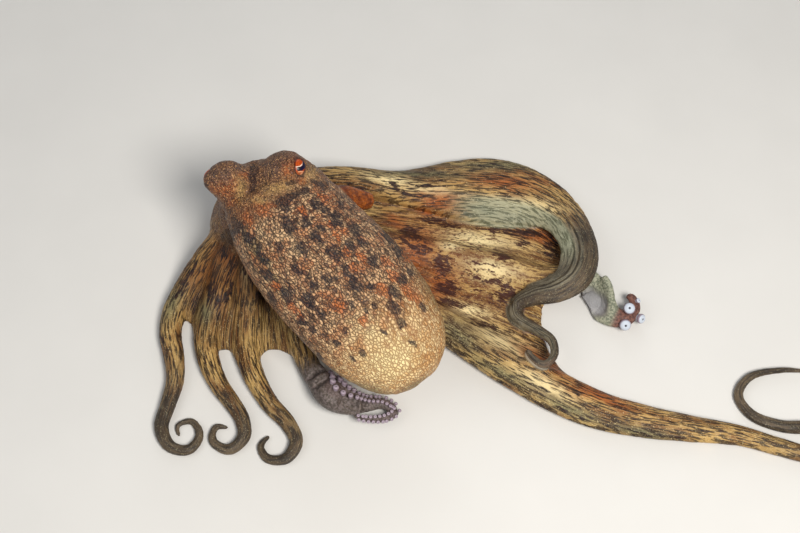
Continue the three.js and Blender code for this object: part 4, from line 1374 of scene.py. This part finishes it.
def distance_to(n, x, y, line):
    """Distance in the eye's plane from a bent line."""
    least = None
    for (x0, y0), (x1, y1) in zip(line, line[1:]):
        dx, dy = x1 - x0, y1 - y0
        px, py = n.minus(x, x0), n.minus(y, y0)
        along = n.plus(n.times(px, dx), n.times(py, dy))
        t = n.math("DIVIDE", along, dx * dx + dy * dy, clamp=True)
        gap_x, gap_y = n.minus(px, n.times(t, dx)), n.minus(py, n.times(t, dy))
        gap = n.math("SQRT", n.plus(n.times(gap_x, gap_x), n.times(gap_y, gap_y)))
        least = gap if least is None else n.math("MINIMUM", least, gap)
    return least


def eye_material():
    n = Nodes("octopus_eye")
    place = n.attribute("eye_place", "Vector")
    x, y = (n.add("SeparateXYZ", {0: place}, axis) for axis in (0, 1))
    fibres = n.noise(n.scaled(place, (1.0, 0.5, 1.0)), 1.4, 4, 0.7)
    rim = n.math("SQRT", n.plus(n.times(x, x), n.times(n.times(y, y), RIM_UPRIGHT)))
    pale = n.fade(distance_to(n, x, y, PALE_LINE), PALE_HALF * 0.8, PALE_HALF * 1.5)
    out = n.two_tone(fibres, 0.35, 0.65, (198, 88, 30), (150, 50, 16))
    for factor, tone in (
        (n.fade(y, -3.4, -2.6), (160, 82, 42)),
        (n.fade(distance_to(n, x, y, LOWER_GLOW), 0.3, 1.3, 0.8), (226, 160, 120)),
        (n.fade(distance_to(n, x, y, UNDER_LINE), 0.15, 0.5, 0.8), (226, 170, 128)),
        (n.step(rim, 2.8, 3.5, (0.0, 0.9)), (56, 22, 16)),
        (n.times(pale, n.step(x, 0.8, 2.2, (0.95, 0.2))), (232, 210, 190)),
        (
            n.fade(distance_to(n, x, y, PUPIL), PUPIL_HALF * 0.9, PUPIL_HALF * 1.08),
            n.two_tone(x, -1.5, 1.0, (16, 8, 8), (22, 18, 48)),
        ),
    ):
        out = n.blend(factor, out, tone)
    return n.finish(out, n.step(fibres, 0.3, 0.7, (0.26, 0.36)), fibres, 0.12, 0.2, gloss=0.25)


polar = np.clip(np.pi * np.arange(EYE_ROWS + 1) / EYE_ROWS, EYE_POLE, np.pi - EYE_POLE)
turn = 2 * np.pi * np.arange(EYE_SIDES) / EYE_SIDES
ball_points = np.stack([
    np.outer(np.sin(polar), np.cos(turn)).ravel(),
    np.outer(np.sin(polar), np.sin(turn)).ravel(),
    np.outer(np.cos(polar), np.ones(EYE_SIDES)).ravel(),
], 1) * EYE_RADIUS
top = len(ball_points)
ball_faces = [(a, d, c, b) for a, b, c, d in bands(0, EYE_ROWS, EYE_SIDES)]
ball_faces += fan(0, top, EYE_SIDES)
ball_faces += [face[::-1] for face in fan(EYE_ROWS * EYE_SIDES, top + 1, EYE_SIDES)]
ball_points = np.vstack([ball_points, [[0, 0, EYE_RADIUS], [0, 0, -EYE_RADIUS]]])
eye_place = np.stack([-ball_points[:, 1], ball_points[:, 0], ball_points[:, 2]], 1)
eye_look = eye_material()
for name, eye in EYES.items():
    ball = mesh_object(name + "_ball", ball_points @ eye["axes"] + eye["at"], ball_faces)
    keep_values(ball.data, "eye_place", eye_place * [eye["hand"], 1, 1])
    ball.data.materials.append(eye_look)
    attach(ball, "root")
    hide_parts(name)

flesh = [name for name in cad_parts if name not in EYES]
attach(skin, "root")
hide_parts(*flesh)


# ---------------------------------------------------------------- floor, light, camera
FLOOR_SIZE = 6
FLOOR_AT = (0.1, 0, 0)
LIGHTS = [  # name, place, size, power, tint
    ("key", (0.42, -0.62, 0.95), 0.4, 13, (1.0, 0.97, 0.92)),
    ("fill", (-0.7, -0.3, 0.9), 0.9, 2.5, (1, 1, 1)),
    ("back", (0.1, 0.9, 0.6), 0.8, 2.0, (0.94, 0.97, 1.0)),
]
LIGHTS_AIM = (0.1, -0.04, 0.03)
WORLD_TINT = (0.9, 0.92, 0.95, 1)
WORLD_STRENGTH = 0.22
CLIP = (0.05, 20)


def floor_material():
    n = Nodes("studio_floor")
    tone = n.noise(n.add("TexCoord", {}, "Object"), 14, 4)
    base = n.blend(tone, (214, 212, 208), (222, 220, 216))
    return n.finish(base, n.step(tone, 0.3, 0.7, (0.75, 0.85)), tone, 0.02, 0.2)


bpy.ops.mesh.primitive_plane_add(size=FLOOR_SIZE, location=FLOOR_AT)
floor = bpy.context.object
floor.name = "studio_floor"
floor.data.materials.append(floor_material())

scene = bpy.context.scene
for name, at, size, power, tint in LIGHTS:
    data = bpy.data.lights.new(name, "AREA")
    data.shape = "DISK"
    data.size = size
    data.energy = power
    data.color = tint
    lamp = bpy.data.objects.new(name, data)
    lamp.location = at
    lamp.rotation_euler = (Vector(LIGHTS_AIM) - Vector(at)).to_track_quat("-Z", "Y").to_euler()
    scene.collection.objects.link(lamp)
world = bpy.data.worlds.new("studio")
world.use_nodes = True
world.node_tree.nodes["Background"].inputs[0].default_value = WORLD_TINT
world.node_tree.nodes["Background"].inputs[1].default_value = WORLD_STRENGTH
scene.world = world
scene.view_settings.view_transform = "Standard"

camera = bpy.data.objects.new("camera", bpy.data.cameras.new("camera"))
camera.data.sensor_fit = "HORIZONTAL"
camera.data.sensor_width = SENSOR
camera.data.lens = SENSOR * FOCAL_PIXELS / PICTURE[0]
camera.data.clip_start, camera.data.clip_end = CLIP
camera.location = Vector(CAMERA_AT * MM)
camera.rotation_euler = (math.pi / 2 - CAMERA_ELEVATION, 0, 0)
scene.collection.objects.link(camera)
scene.camera = camera

bpy.context.view_layer.update()
